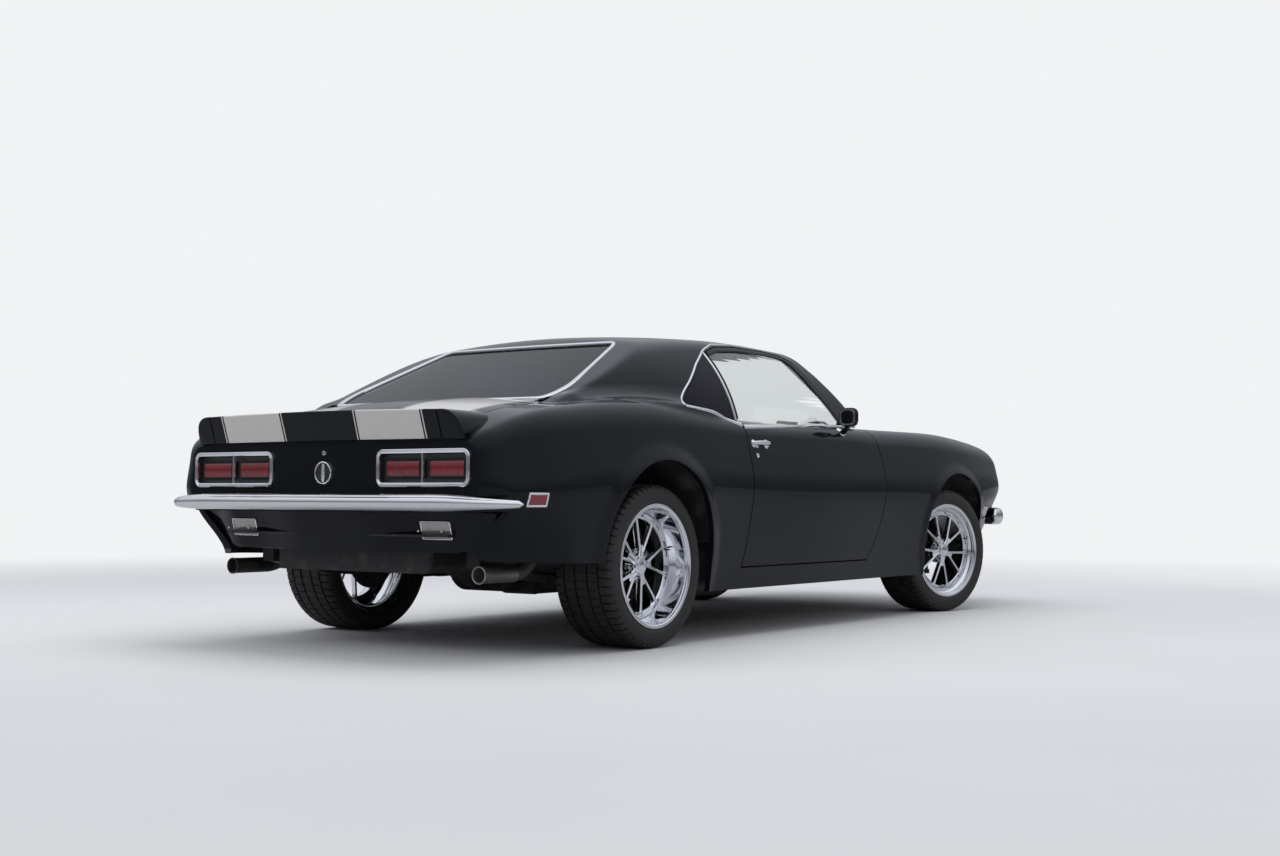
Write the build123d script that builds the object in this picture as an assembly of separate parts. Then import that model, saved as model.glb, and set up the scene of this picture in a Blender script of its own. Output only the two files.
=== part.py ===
"""Two-door hardtop muscle car at its real size, as separate named pieces, in millimetres.

The frame is the car's own: the origin lies on the ground under the middle of the car, +X points
forward, +Y to the car's left and +Z up. The pieces are written one file each to parts/.
"""
import os
from math import cos, hypot, radians, sin
from typing import NamedTuple

from build123d import *

os.makedirs("parts", exist_ok=True)

# Overall sizes
WHEELBASE = 2746.0
REAR_AXLE_X = -1333.0
FRONT_AXLE_X = REAR_AXLE_X + WHEELBASE
NOSE_X = 2290.0
TAIL_X = -2255.0
SILL_Z = 205.0
SEAM = 6.0
SKIN = 18.0
WALL = 80.0
TOUCH = 0.3

# Wheels
TYRE_RADIUS = 318.0
FRONT_TYRE_WIDTH = 245.0
REAR_TYRE_WIDTH = 275.0
FRONT_WHEEL_FACE_Y = 871.0
REAR_WHEEL_FACE_Y = 874.0
BEAD_RADIUS = 229.0
RIM_LIP_RADIUS = 243.0
RIM_WALL = 8.0
REST_STEER_DEG = -14.0
KINGPIN_Y = 712.0
FRONT_ARCH_RADIUS = 377.0
FRONT_ARCH_Z = 343.0
REAR_ARCH_RADIUS = 366.0
REAR_ARCH_Z = 363.0

# Seams, in the side view and from above
DOOR_FRONT_TOP_X = 525.0
DOOR_FRONT_MID_X = 588.0
DOOR_FRONT_LOW_X = 420.0
DOOR_REAR_TOP_X = -668.0
DOOR_REAR_MID_X = -645.0
DOOR_REAR_LOW_X = -712.0
DOOR_MID_Z = 690.0
DOOR_LOW_Z = 298.0
HOOD_REAR_X = 650.0
HOOD_FRONT_X = 2222.0
HOOD_REAR_Y = 690.0
HOOD_FRONT_Y = 610.0
HOOD_FRONT_GAP = 9.0
LID_FRONT_X = -1760.0
LID_REAR_X = -2231.0
LID_HALF_WIDTH = 592.0
BELT_Z = 915.0
COWL_REAR_X = 440.0
COWL_HALF_WIDTH = 764.0
COWL_DEPTH = 55.0
HINGE_PAD_REAR_X = 455.0
HINGE_PAD_FRONT_X = 500.0
HINGE_PAD_INNER_Y = 730.0
HINGE_PAD_LOW_Z = 848.0
HINGE_PAD_TOP_Z = 900.0
HEADER_HALF_WIDTH = 640.0
ROCKER_INNER_Y = 800.0
PANEL = 18.0
TAIL_PANEL_LOW_Z = 524.0 + TOUCH
TAIL_TOP_Z = 812.0
DOOR_FLANGE = 18.0
DOOR_INNER_Y = 772.0
PILLAR_GAP = 6.0
SHELF_Z = 900.0
SHELF_FRONT_X = -1110.0
SHELF_HALF_WIDTH = 560.0
ROOF_WALL = 36.0
GLASS_DEPTH = 6.0
GLASS = 5.0
CABIN_MOUTH_LEFT = [(COWL_REAR_X - 4, 742), (400, 766), (-1000, 766), (-1400, 690), (-1640, 590)]
SCREEN_CORNERS = ((742, 938), (560, 1256))
REAR_GLASS_CORNERS = ((606, 968), (458, 1226))
SCREEN_CORNER_R = 45.0
SIDE_WINDOW = [(470, 880), (455, 946), (112, 1256), (20, 1262), (-590, 1250), (-640, 1238), (-1040, 962), (-1050, 880)]
DOOR_WINDOW = [(440, 880), (440, 940), (108, 1244), (18, 1250), (-592, 1238), (-672, 930), (-672, 880)]
QUARTER_WINDOW = [(-599, 1238), (-632, 1236), (-1036, 961), (-1046, 880), (-680, 880), (-679, 930)]

# Wheel centres, hubs and brakes, as depths behind the tyre's outer face
CENTRE_RADIUS = 205.0
FRONT_DISH = 42.0
REAR_DISH = 96.0
SPOKE_COUNT = 5
SPOKE_ROOT_DEG = 8.0
SPOKE_TIP_DEG = 18.0
SPOKE_ROOT_RADIUS = 40.0
SPOKE_ROOT_HALF = 9.0
SPOKE_TIP_HALF = 11.0
SPOKE_DEPTH = 24.0
HUB_RADIUS = 66.0
CAP_RADIUS = 34.0
SPINDLE_RADIUS = 20.0
SPINDLE_DEPTH = 55.0
FRONT_HUB_END = 124.0
REAR_HUB_END = 214.0
FRONT_ROTOR = (95.0, 150.0, 22.0)
REAR_DRUM = (150.0, 140.0, 60.0)
KINGPIN_LOW_Z = 215.0
KINGPIN_HIGH_Z = 432.0

# Chassis
RAIL_REAR_X = 612.0
RAIL_FRONT_X = 2150.0
RAIL_INNER_Y = 385.0
RAIL_OUTER_Y = 440.0
RAIL_LOW_Z = 245.0
RAIL_HIGH_Z = 325.0
GEARBOX_REAR_X = 60.0
GEARBOX_Z = TYRE_RADIUS
SPRING_Y = 540.0
SPRING_FRONT_X = -905.0
SPRING_FRONT_Z = 345.0
SPRING_REAR_X = -2010.0
SPRING_REAR_Z = 350.0
SPRING_DEPTH = 28.0
FLOOR_Z = 243.0
FLOOR = 8.0
KICK_Z = 400.0
TRUNK_Z = 445.0
TRUNK_REAR_X = -2216.0
TUNNEL_REAR_X = -850.0
FIREWALL_X = 600.0
FIREWALL_HALF_WIDTH = 720.0
TUNNEL_HALF = 155.0
TUNNEL_FRONT_Z = 500.0
TUNNEL_REAR_Z = 395.0
WELL_FRONT_X = -958.0
WELL_Y = 575.0
WELL_RADIUS = 384.0
FRONT_WELL_RADIUS = 402.0
APRON_Y = 455.0
MUFFLER_Z = 182.0
RADIATOR_X = 2020.0

# Cabin
FRONT_SEAT_Y = (190.0, 660.0)
REAR_SEAT_HALF = 560.0
DASH_HALF = 715.0
STEERING_X = 170.0
STEERING_Y = 370.0
STEERING_Z = 825.0
STEERING_RADIUS = 185.0

# Lamps, grille and fittings
TAIL_LAMP_Y = (271.0, 716.0)
TAIL_LAMP_Z = (615.0, 752.0)
LAMP_DEPTH = 14.0
BEZEL = 15.0
REVERSE_LAMP_Y = (430.0, 570.0)
SIDE_MARKERS = ((-2090.0, 572.0), (1960.0, 560.0))
PLATE_HOLE_SPACING = 178.0
PLATE_HOLE_RADIUS = 3.5
GRILLE_X = 2240.0
GRILLE_MID_Z = 640.0
GRILLE_HEIGHT = 176.0
GRILLE_PITCH_Y = 44.0
GRILLE_PITCH_Z = 21.0
GRILLE_COLUMNS = 24
GRILLE_ROWS = 8
HEADLAMP_Y = 600.0
HEADLAMP_RADIUS = 72.0
MIRROR_X = 190.0
MIRROR_Y = 905.0
MIRROR_Z = 962.0
HANDLE_X = -560.0


class Section(NamedTuple):
    """One cross-section of the lower body: its crown, top edge, shoulder, belly and sill."""

    x: float
    crown_z: float
    edge_y: float
    edge_z: float
    shoulder_y: float
    shoulder_z: float
    shoulder_r: float
    belly_y: float
    belly_z: float
    belly_r: float
    sill_y: float


BODY_SECTIONS = [
    Section(2290, 742, 560, 738, 705, 730, 45, 772, 655, 60, 745),
    Section(2190, 800, 580, 792, 765, 822, 80, 832, 650, 200, 800),
    Section(1950, 872, 610, 858, 822, 896, 105, 884, 645, 300, 842),
    Section(1413, 925, 640, 904, 852, 938, 130, 919, 640, 400, 868),
    Section(821, 952, 680, 922, 852, 926, 110, 904, 640, 400, 866),
    Section(0, 948, 700, 930, 852, 902, 70, 900, 640, 400, 866),
    Section(-680, 958, 700, 938, 856, 904, 80, 900, 645, 400, 866),
    Section(-1333, 992, 660, 962, 872, 960, 120, 926, 650, 400, 872),
    Section(-1800, 962, 600, 930, 856, 918, 110, 910, 630, 300, 855),
    Section(-2100, 892, 590, 868, 822, 858, 85, 868, 600, 200, 815),
    Section(-2255, 812, 590, 800, 775, 792, 60, 818, 600, 120, 775),
]


def section_face(row, inset, base_z):
    """The closed outline of one body section, drawn in by inset."""
    side = [
        (row.sill_y - inset, base_z),
        (row.belly_y - inset, row.belly_z),
        (row.shoulder_y - inset, row.shoulder_z - inset),
        (row.edge_y - 0.3 * inset, row.edge_z - inset),
    ]
    rounds = [max(20.0, row.belly_r - inset), max(20.0, row.shoulder_r - inset)]
    left = FilletPolyline(*side, radius=rounds)
    right = mirror(left, about=Plane.YZ)
    edge_y, edge_z = side[-1]
    crown = ThreePointArc((edge_y, edge_z), (0, row.crown_z - inset), (-edge_y, edge_z))
    base = Line((-side[0][0], base_z), (side[0][0], base_z))
    outline = make_face([*left.edges(), *right.edges(), crown.edge(), base.edge()])
    return Plane(origin=(row.x, 0, 0), x_dir=(0, 1, 0), z_dir=(1, 0, 0)) * outline


def body_solid(inset=0.0, base_z=SILL_Z):
    """The lower body's outer shape, drawn in by inset on every side."""
    return loft([section_face(row, inset, base_z) for row in BODY_SECTIONS])


class RoofSection(NamedTuple):
    """One cross-section of the roof and its pillars, without the glass at either end."""

    x: float
    foot_y: float
    waist_y: float
    waist_z: float
    rail_y: float
    rail_z: float
    crown_z: float


ROOF_SECTIONS = [
    RoofSection(700, 812, 742, 1100, 590, 1262, 1284),
    RoofSection(120, 814, 748, 1100, 616, 1266, 1292),
    RoofSection(-300, 814, 750, 1100, 630, 1270, 1304),
    RoofSection(-700, 812, 748, 1100, 628, 1258, 1297),
    RoofSection(-1050, 800, 722, 1095, 590, 1222, 1262),
    RoofSection(-1400, 735, 650, 1070, 530, 1160, 1190),
    RoofSection(-1720, 640, 560, 1050, 460, 1110, 1130),
]
ROOF_FOOT_Z = 890.0

SCREEN_BASE_X = 560.0
SCREEN_TOP_X = 128.0
SCREEN_BASE_Z = 945.0
SCREEN_TOP_Z = 1290.0
SCREEN_BOW = 85.0
REAR_GLASS_BASE_X = -1668.0
REAR_GLASS_TOP_X = -985.0
REAR_GLASS_BASE_Z = 968.0
REAR_GLASS_TOP_Z = 1268.0
REAR_GLASS_BOW = 70.0
GLASS_SPAN_Y = 800.0


def roof_face(row, inset):
    """The closed outline of one roof section, drawn in by inset."""
    side = [
        (row.foot_y - inset, ROOF_FOOT_Z),
        (row.waist_y - inset, row.waist_z),
        (row.rail_y - inset, row.rail_z - 0.6 * inset),
    ]
    left = ThreePointArc(*side)
    right = mirror(left, about=Plane.YZ)
    rail_y, rail_z = side[-1]
    crown = ThreePointArc((rail_y, rail_z), (0, row.crown_z - inset), (-rail_y, rail_z))
    base = Line((-side[0][0], ROOF_FOOT_Z), (side[0][0], ROOF_FOOT_Z))
    outline = make_face([*left.edges(), *right.edges(), crown.edge(), base.edge()])
    return Plane(origin=(row.x, 0, 0), x_dir=(0, 1, 0), z_dir=(1, 0, 0)) * outline


def side_prism(points, y_low, y_high, radius=0.0):
    """A prism along Y from an outline of (x, z) points."""
    shape = FilletPolyline(*points, radius=radius, close=True) if radius else Polyline(*points, close=True)
    face = Plane(origin=(0, y_high, 0), x_dir=(1, 0, 0), z_dir=(0, -1, 0)) * make_face(shape)
    return extrude(face, y_high - y_low)


def plan_prism(points, z_low, z_high, radius=0.0):
    """A prism along Z from an outline of (x, y) points."""
    shape = FilletPolyline(*points, radius=radius, close=True) if radius else Polyline(*points, close=True)
    return extrude(Plane.XY.offset(z_low) * make_face(shape), z_high - z_low)


def front_prism(points, x_low, x_high, radius=0.0):
    """A prism along X from an outline of (y, z) points."""
    shape = FilletPolyline(*points, radius=radius, close=True) if radius else Polyline(*points, close=True)
    face = Plane(origin=(x_low, 0, 0), x_dir=(0, 1, 0), z_dir=(1, 0, 0)) * make_face(shape)
    return extrude(face, x_high - x_low)


def block(x_low, x_high, y_low, y_high, z_low, z_high):
    """A box between two corners."""
    middle = ((x_low + x_high) / 2, (y_low + y_high) / 2, (z_low + z_high) / 2)
    return Pos(*middle) * Box(x_high - x_low, y_high - y_low, z_high - z_low)


def rod(start, end, radius):
    """A round bar from one point to another."""
    start, end = Vector(*start), Vector(*end)
    return Solid.make_cylinder(radius, (end - start).length, Plane(origin=start, z_dir=end - start))


def cross_bar(x, z, radius, y_low, y_high):
    """A round bar along Y."""
    return rod((x, y_low, z), (x, y_high, z), radius)


def cross_disc(x, y, z, radius, depth):
    """A disc that stands depth behind the plane at x."""
    return rod((x, y, z), (x - depth, y, z), radius)


def both(shape):
    """A piece and its mirror image on the other side of the car."""
    return Compound(children=[*shape.solids(), *mirror(shape, about=Plane.XZ).solids()])


def mirrored(points):
    """An outline of (along, y) points on the left, completed on the right."""
    return [*points, *[(a, -b) for a, b in reversed(points)]]


def screen_block(inset):
    """What lies behind the windshield's surface, bowed in plan and sloped back."""
    slope = (SCREEN_BASE_X - SCREEN_TOP_X) / (SCREEN_TOP_Z - SCREEN_BASE_Z)
    drop = SCREEN_BASE_Z - ROOF_FOOT_Z + 60
    front = SCREEN_BASE_X + slope * drop - inset * hypot(1, slope)
    corner = front - SCREEN_BOW
    arc = ThreePointArc((corner, -GLASS_SPAN_Y), (front, 0), (corner, GLASS_SPAN_Y))
    rest = Polyline((corner, GLASS_SPAN_Y), (-2600, GLASS_SPAN_Y), (-2600, -GLASS_SPAN_Y),
                    (corner, -GLASS_SPAN_Y))
    face = Plane.XY.offset(SCREEN_BASE_Z - drop) * make_face([arc.edge(), *rest.edges()])
    rise = 500.0
    return extrude(face, rise * hypot(1, slope), dir=(-slope, 0, 1))


def rear_glass_block(inset):
    """What lies ahead of the back glass's surface, bowed in plan and sloped forward."""
    slope = (REAR_GLASS_TOP_X - REAR_GLASS_BASE_X) / (REAR_GLASS_TOP_Z - REAR_GLASS_BASE_Z)
    drop = REAR_GLASS_BASE_Z - ROOF_FOOT_Z + 60
    rear = REAR_GLASS_BASE_X - slope * drop + inset * hypot(1, slope)
    corner = rear + REAR_GLASS_BOW
    arc = ThreePointArc((corner, -GLASS_SPAN_Y), (rear, 0), (corner, GLASS_SPAN_Y))
    rest = Polyline((corner, GLASS_SPAN_Y), (2600, GLASS_SPAN_Y), (2600, -GLASS_SPAN_Y),
                    (corner, -GLASS_SPAN_Y))
    face = Plane.XY.offset(REAR_GLASS_BASE_Z - drop) * make_face([arc.edge(), *rest.edges()])
    rise = 500.0
    return extrude(face, rise * hypot(1, slope), dir=(slope, 0, 1))


def cabin_solid(inset=0.0):
    """The roof, pillars and glass as one solid, drawn in by inset."""
    tunnel = loft([roof_face(row, inset) for row in ROOF_SECTIONS])
    return tunnel & screen_block(inset) & rear_glass_block(inset)


def raised_patch(inner, outer, zone):
    """The layer between two distances outside the body's skin, within a zone."""
    return (body_solid(-outer) & zone) - (body_solid(-inner) & zone)


def door_prism(margin, y_low=500.0, y_high=1000.0):
    """A prism along Y from the door's outline, grown by margin on its front, rear and lower edges."""
    low, top = DOOR_LOW_Z - margin, BELT_Z + 200
    front = ThreePointArc((DOOR_FRONT_LOW_X + margin, low), (DOOR_FRONT_MID_X + margin, DOOR_MID_Z),
                          (DOOR_FRONT_TOP_X + margin, BELT_Z))
    rear = ThreePointArc((DOOR_REAR_TOP_X - margin, BELT_Z), (DOOR_REAR_MID_X - margin, DOOR_MID_Z),
                         (DOOR_REAR_LOW_X - margin, low))
    above = Polyline((DOOR_FRONT_TOP_X + margin, BELT_Z), (DOOR_FRONT_TOP_X + margin, top),
                     (DOOR_REAR_TOP_X - margin, top), (DOOR_REAR_TOP_X - margin, BELT_Z))
    base = Line((DOOR_REAR_LOW_X - margin, low), (DOOR_FRONT_LOW_X + margin, low))
    outline = make_face([front.edge(), *above.edges(), rear.edge(), base.edge()])
    face = Plane(origin=(0, y_high, 0), x_dir=(1, 0, 0), z_dir=(0, -1, 0)) * outline
    return extrude(face, y_high - y_low)


def hood_seam_y(x):
    """How far out the hood's side seam lies at x."""
    share = (x - HOOD_REAR_X) / (HOOD_FRONT_X - HOOD_REAR_X)
    return HOOD_REAR_Y + (HOOD_FRONT_Y - HOOD_REAR_Y) * share


CABIN_MOUTH = mirrored(CABIN_MOUTH_LEFT)

# The shapes that the body's panels are cut from
BODY = body_solid()
BODY_SKIN = BODY - body_solid(SKIN, SILL_Z - 50)
BODY_PROUD = body_solid(-TOUCH)
BODY_INSIDE = body_solid(SKIN + TOUCH, SILL_Z - 50)
LOWER_CUT = side_prism([(2400, 300), (1800, 300), (1760, 100), (-1640, 100), (-1690, 400), (-2400, 405), (-2400, 0),
                        (2400, 0)], -1000, 1000)
FRONT_ARCH = cross_bar(FRONT_AXLE_X, FRONT_ARCH_Z, FRONT_ARCH_RADIUS, -1000, 1000) + block(
    FRONT_AXLE_X - FRONT_ARCH_RADIUS + 4, FRONT_AXLE_X + FRONT_ARCH_RADIUS - 4, -1000, 1000, 0, FRONT_ARCH_Z - 40)
REAR_ARCH = cross_bar(REAR_AXLE_X, REAR_ARCH_Z, REAR_ARCH_RADIUS, -1000, 1000) + block(
    REAR_AXLE_X - REAR_ARCH_RADIUS + 4, REAR_AXLE_X + REAR_ARCH_RADIUS - 4, -1000, 1000, 0, REAR_ARCH_Z - 40)
SIDE_SKIN = BODY_SKIN - LOWER_CUT - FRONT_ARCH - REAR_ARCH
LEFT_HALF = block(-3000, 3000, 0, 1100, 0, 1400)

def keep(name, shape):
    """Write one piece to its own file."""
    solids = shape.solids()
    whole = solids[0] if len(solids) == 1 else Compound(children=list(solids))
    export_step(whole, f"parts/{name}.step")


def left_and_right(name, shape):
    """Write a piece of the left side and its mirror image."""
    keep(name + "_left", shape)
    keep(name + "_right", mirror(shape, about=Plane.XZ))


def largest(shape):
    """The largest solid of a cut shape."""
    return max(shape.solids(), key=lambda solid: solid.volume)


def beside_door(front, margin):
    """All that lies ahead of the door's front edge, or behind its rear edge, by margin."""
    if front:
        top, mid, low, far = DOOR_FRONT_TOP_X, DOOR_FRONT_MID_X, DOOR_FRONT_LOW_X, 3000
    else:
        top, mid, low, far = DOOR_REAR_TOP_X, DOOR_REAR_MID_X, DOOR_REAR_LOW_X, -3000
        margin = -margin
    edge = ThreePointArc((low + margin, DOOR_LOW_Z), (mid + margin, DOOR_MID_Z), (top + margin, BELT_Z))
    rest = Polyline((top + margin, BELT_Z), (top + margin, 1400), (far, 1400), (far, 100), (low + margin, 100),
                    (low + margin, DOOR_LOW_Z))
    face = Plane(origin=(0, 1100, 0), x_dir=(1, 0, 0), z_dir=(0, -1, 0)) * make_face([edge.edge(), *rest.edges()])
    return extrude(face, 1100)


def hood_outline(margin):
    """The hood from above, grown by margin."""
    rear, front = HOOD_REAR_X - margin, HOOD_FRONT_X + HOOD_FRONT_GAP * margin / SEAM
    return mirrored([(rear, hood_seam_y(rear) + margin), (front, hood_seam_y(front) + margin)])


def lid_outline(margin):
    """The deck lid from above, grown by margin."""
    front, rear = LID_FRONT_X + margin, LID_REAR_X - margin
    return mirrored([(front, LID_HALF_WIDTH + margin), (rear, LID_HALF_WIDTH + margin)])


def build_fenders():
    """The front fenders, from the door's front edge to the nose."""
    fender = SIDE_SKIN & beside_door(True, SEAM)
    fender -= plan_prism(hood_outline(SEAM), 600, 1200)
    fender -= block(400, HOOD_REAR_X - SEAM, 0, COWL_HALF_WIDTH + TOUCH, 600, 1200)
    fender -= block(HOOD_FRONT_X, NOSE_X + 10, 0, HEADER_HALF_WIDTH + TOUCH, 500, 1200)
    left_and_right("fender", largest(fender))


def build_quarters():
    """The quarter panels, from the door's rear edge to the tail."""
    quarter = SIDE_SKIN & beside_door(False, SEAM)
    quarter -= plan_prism(lid_outline(SEAM), 600, 1200)
    quarter -= plan_prism(CABIN_MOUTH, 700, 1200)
    quarter -= block(LID_FRONT_X - 10, CABIN_MOUTH_LEFT[-1][0] + 300, -LID_HALF_WIDTH, LID_HALF_WIDTH + TOUCH, 700, 1200)
    quarter -= block(-2400, TAIL_X + PANEL, -1000, 1000, 100, 1200)
    left_and_right("quarter", largest(quarter))


def build_rockers():
    """The sills under the doors."""
    rocker = BODY & block(DOOR_REAR_LOW_X - SEAM + TOUCH, DOOR_FRONT_LOW_X + SEAM - TOUCH, ROCKER_INNER_Y, 1000,
                          SILL_Z + 1, DOOR_LOW_Z - SEAM)
    keep("rockers", both(rocker))


def build_doors():
    """The doors: a skin flange all round and a deep inner box."""
    skin_zone = door_prism(0.0)
    box_zone = door_prism(-DOOR_FLANGE)
    door = (BODY - body_solid(WALL, SILL_Z - 50)) & skin_zone
    door -= body_solid(SKIN, SILL_Z - 50) - box_zone
    door &= block(-900, 700, DOOR_INNER_Y, 1000, 0, 1400)
    left_and_right("door", largest(door))


def build_hood_and_lid():
    """The hood, the header panel ahead of it, the cowl behind it, the deck lid and the panel ahead of it."""
    keep("hood", largest(BODY_SKIN & plan_prism(hood_outline(0.0), 600, 1200)))
    header = BODY_SKIN & block(HOOD_FRONT_X + HOOD_FRONT_GAP, NOSE_X, -HEADER_HALF_WIDTH, HEADER_HALF_WIDTH, 600, 1200)
    keep("header_panel", largest(header))
    cowl_zone = block(COWL_REAR_X, HOOD_REAR_X - SEAM, -COWL_HALF_WIDTH, COWL_HALF_WIDTH, 700, 1200)
    cowl = (BODY - body_solid(COWL_DEPTH, SILL_Z - 50)) & cowl_zone
    hinge_pads = both(block(HINGE_PAD_REAR_X, HINGE_PAD_FRONT_X, HINGE_PAD_INNER_Y, DOOR_INNER_Y - TOUCH,
                            HINGE_PAD_LOW_Z, HINGE_PAD_TOP_Z))
    keep("cowl", largest(cowl + hinge_pads))
    keep("deck_lid", largest(BODY_SKIN & plan_prism(lid_outline(0.0), 600, 1200)))
    mouth_rear = CABIN_MOUTH_LEFT[-1][0]
    deck = BODY_SKIN & block(LID_FRONT_X + SEAM, mouth_rear, -LID_HALF_WIDTH, LID_HALF_WIDTH, 700, 1200)
    shelf = block(mouth_rear, SHELF_FRONT_X, -SHELF_HALF_WIDTH, SHELF_HALF_WIDTH, SHELF_Z - 10, SHELF_Z)
    wall = block(mouth_rear, mouth_rear + 8, -SHELF_HALF_WIDTH, SHELF_HALF_WIDTH, SHELF_Z - 10, 945)
    keep("rear_deck_panel", largest(deck + shelf + wall))


def build_tail():
    """The tail panel, the lower valance and the bare plate."""
    slab = block(TAIL_X, TAIL_X + PANEL - TOUCH, -1000, 1000, TAIL_PANEL_LOW_Z, 1200)
    keep("tail_panel", largest(BODY & slab))
    lean = [(-2252, 524), (-2240, 524), (-2206, 398), (-2218, 398)]
    valance = side_prism(lean, -790, 790)
    valance &= front_prism([(-800, 530), (800, 530), (790, 470), (700, 398), (-700, 398), (-790, 470)], -2300, -2100)
    plate = block(-2262, -2259, -152, 152, 380, 526)
    for side in (-1, 1):
        plate -= cross_disc(-2250, side * PLATE_HOLE_SPACING / 2, 508, PLATE_HOLE_RADIUS, 30)
    bracket = block(-2260, -2230, -60, 60, 490, 520)
    keep("rear_valance", largest(valance + bracket + plate))


def build_roof():
    """The roof with its front and rear pillars, and the fixed glass."""
    outer, inner = cabin_solid(), cabin_solid(ROOF_WALL)
    shell = outer - inner - BODY_PROUD
    windows = {
        "windshield": front_prism(mirrored_front(SCREEN_CORNERS), -100, 800, SCREEN_CORNER_R),
        "rear_glass": front_prism(mirrored_front(REAR_GLASS_CORNERS), -1800, -850, SCREEN_CORNER_R),
    }
    for window in windows.values():
        shell -= window
    side = side_prism(SIDE_WINDOW, -1000, 1000)
    shell -= side
    shell -= both(body_solid(-PILLAR_GAP) & block(DOOR_REAR_TOP_X - SEAM, DOOR_FRONT_TOP_X + SEAM, COWL_HALF_WIDTH,
                                                  1000, 700, 1200))
    keep("roof", largest(shell))
    glass = cabin_solid(GLASS_DEPTH) - cabin_solid(GLASS_DEPTH + GLASS) - BODY_PROUD
    keep("windshield", largest(glass & front_prism(mirrored_front(SCREEN_CORNERS, -TOUCH), -100, 800,
                                                   SCREEN_CORNER_R)))
    keep("rear_glass", largest(glass & front_prism(mirrored_front(REAR_GLASS_CORNERS, -TOUCH), -1800, -850,
                                                   SCREEN_CORNER_R)))
    door_glass = glass & side_prism(DOOR_WINDOW, 0, 1000)
    left_and_right("door_glass", largest(door_glass))
    quarter_glass = glass & side_prism(QUARTER_WINDOW, 0, 1000)
    keep("quarter_glass", both(largest(quarter_glass)))


def mirrored_front(corners, grow=0.0):
    """A window's outline of (y, z) points, completed on the right."""
    low, high = corners
    return [(low[0] + grow, low[1] - grow), (high[0] + grow, high[1] + grow), (-high[0] - grow, high[1] + grow),
            (-low[0] - grow, low[1] - grow)]


def build_spoiler():
    """The ducktail: a middle length on the lid and an end on each quarter."""
    sections = [
        TailProfile(0, -2070, 900, -2306, 896, -2300, 880, -2272, 787),
        TailProfile(LID_HALF_WIDTH - 3, -2075, 890, -2303, 889, -2297, 873, -2268, 785),
    ]
    right_to_left = [sections[1]._replace(y=-sections[1].y), sections[0], sections[1]]
    middle = loft([row.face() for row in right_to_left]) - BODY_PROUD
    middle -= block(TAIL_X - SEAM, LID_REAR_X, -700, 700, 700, TAIL_TOP_Z + SEAM)
    keep("spoiler", largest(middle))
    ends = [
        TailProfile(LID_HALF_WIDTH + 3, -2075, 890, -2303, 889, -2297, 873, -2268, 785),
        TailProfile(690, -2085, 872, -2290, 868, -2285, 852, -2262, 782),
        TailProfile(760, -2100, 850, -2262, 836, -2258, 824, -2250, 775),
        TailProfile(800, -2120, 822, -2215, 806, -2212, 800, -2205, 770),
    ]
    keep("spoiler_ends", both(largest(loft([row.face() for row in ends]) - BODY_PROUD)))


class TailProfile(NamedTuple):
    """One profile of the ducktail at y: its front edge, lip and low rear edge."""

    y: float
    front_x: float
    front_z: float
    lip_x: float
    lip_z: float
    under_x: float
    under_z: float
    low_x: float
    low_z: float

    def face(self):
        """The profile as a face across the car."""
        points = [(self.front_x, self.front_z), (self.lip_x, self.lip_z), (self.under_x, self.under_z),
                  (self.low_x, self.low_z), (-2225, self.low_z), (self.front_x, 760)]
        plane = Plane(origin=(0, self.y, 0), x_dir=(1, 0, 0), z_dir=(0, -1, 0))
        return plane * make_face(Polyline(*points, close=True))


def bumper(points, radii, height, depth, z):
    """A chromed bumper swept along its plan outline."""
    path = FilletPolyline(*points, radius=radii)
    start = Plane(origin=path @ 0, x_dir=(0, 0, 1), z_dir=path % 0)
    half = height / 2
    face = make_face([
        ThreePointArc((-half, 0), (0, depth), (half, 0)).edge(),
        ThreePointArc((half, 0), (0, depth * 0.35), (-half, 0)).edge(),
    ])
    return Pos(0, 0, z) * sweep(start * face, path=path)


def build_bumpers():
    """The chromed bumpers."""
    rear = [(-2150, 902), (-2262, 872), (-2300, 430), (-2300, -430), (-2262, -872), (-2150, -902)]
    blade = bumper(rear, [70, 900, 900, 70], 62, 45, 560) - BODY_PROUD
    irons = both(block(TAIL_X - 75, TAIL_X - TOUCH, 385, 415, 548, 572))
    keep("rear_bumper", largest(blade + irons.solids()))
    front = [(2170, -868), (2262, -806), (2300, -400), (2300, 400), (2262, 806), (2170, 868)]
    blade = bumper(front, [70, 900, 900, 70], 96, 45, 492) - BODY_PROUD
    irons = both(block(RADIATOR_X + 25 + TOUCH, 2328, 395, 425, 466, 500))
    keep("front_bumper", largest(blade + irons.solids()))


def tyre(width):
    """A low-profile tyre about the Y axis, its outer bulge at y = 0."""
    bead, knee, bulge, crown = BEAD_RADIUS + TOUCH, RIM_LIP_RADIUS + 1.0, BEAD_RADIUS + 46.0, TYRE_RADIUS
    edge = crown - 11.0
    outer = ThreePointArc((knee, -20), (bulge, 0), (edge, -12))
    outer_round = ThreePointArc((edge, -12), (crown - 4.5, -20), (crown - 1.5, -34))
    tread = ThreePointArc((crown - 1.5, -34), (crown, -width / 2), (crown - 1.5, 34 - width))
    inner_round = ThreePointArc((crown - 1.5, 34 - width), (crown - 4.5, 20 - width), (edge, 12 - width))
    inner = ThreePointArc((edge, 12 - width), (bulge, -width), (knee, 20 - width))
    base = Polyline((knee, 20 - width), (bead, 23 - width), (bead, -23), (knee, -20))
    outline = [part.edge() for part in (outer, outer_round, tread, inner_round, inner)]
    return revolve(make_face([*outline, *base.edges()]), axis=Axis.Y)


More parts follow.
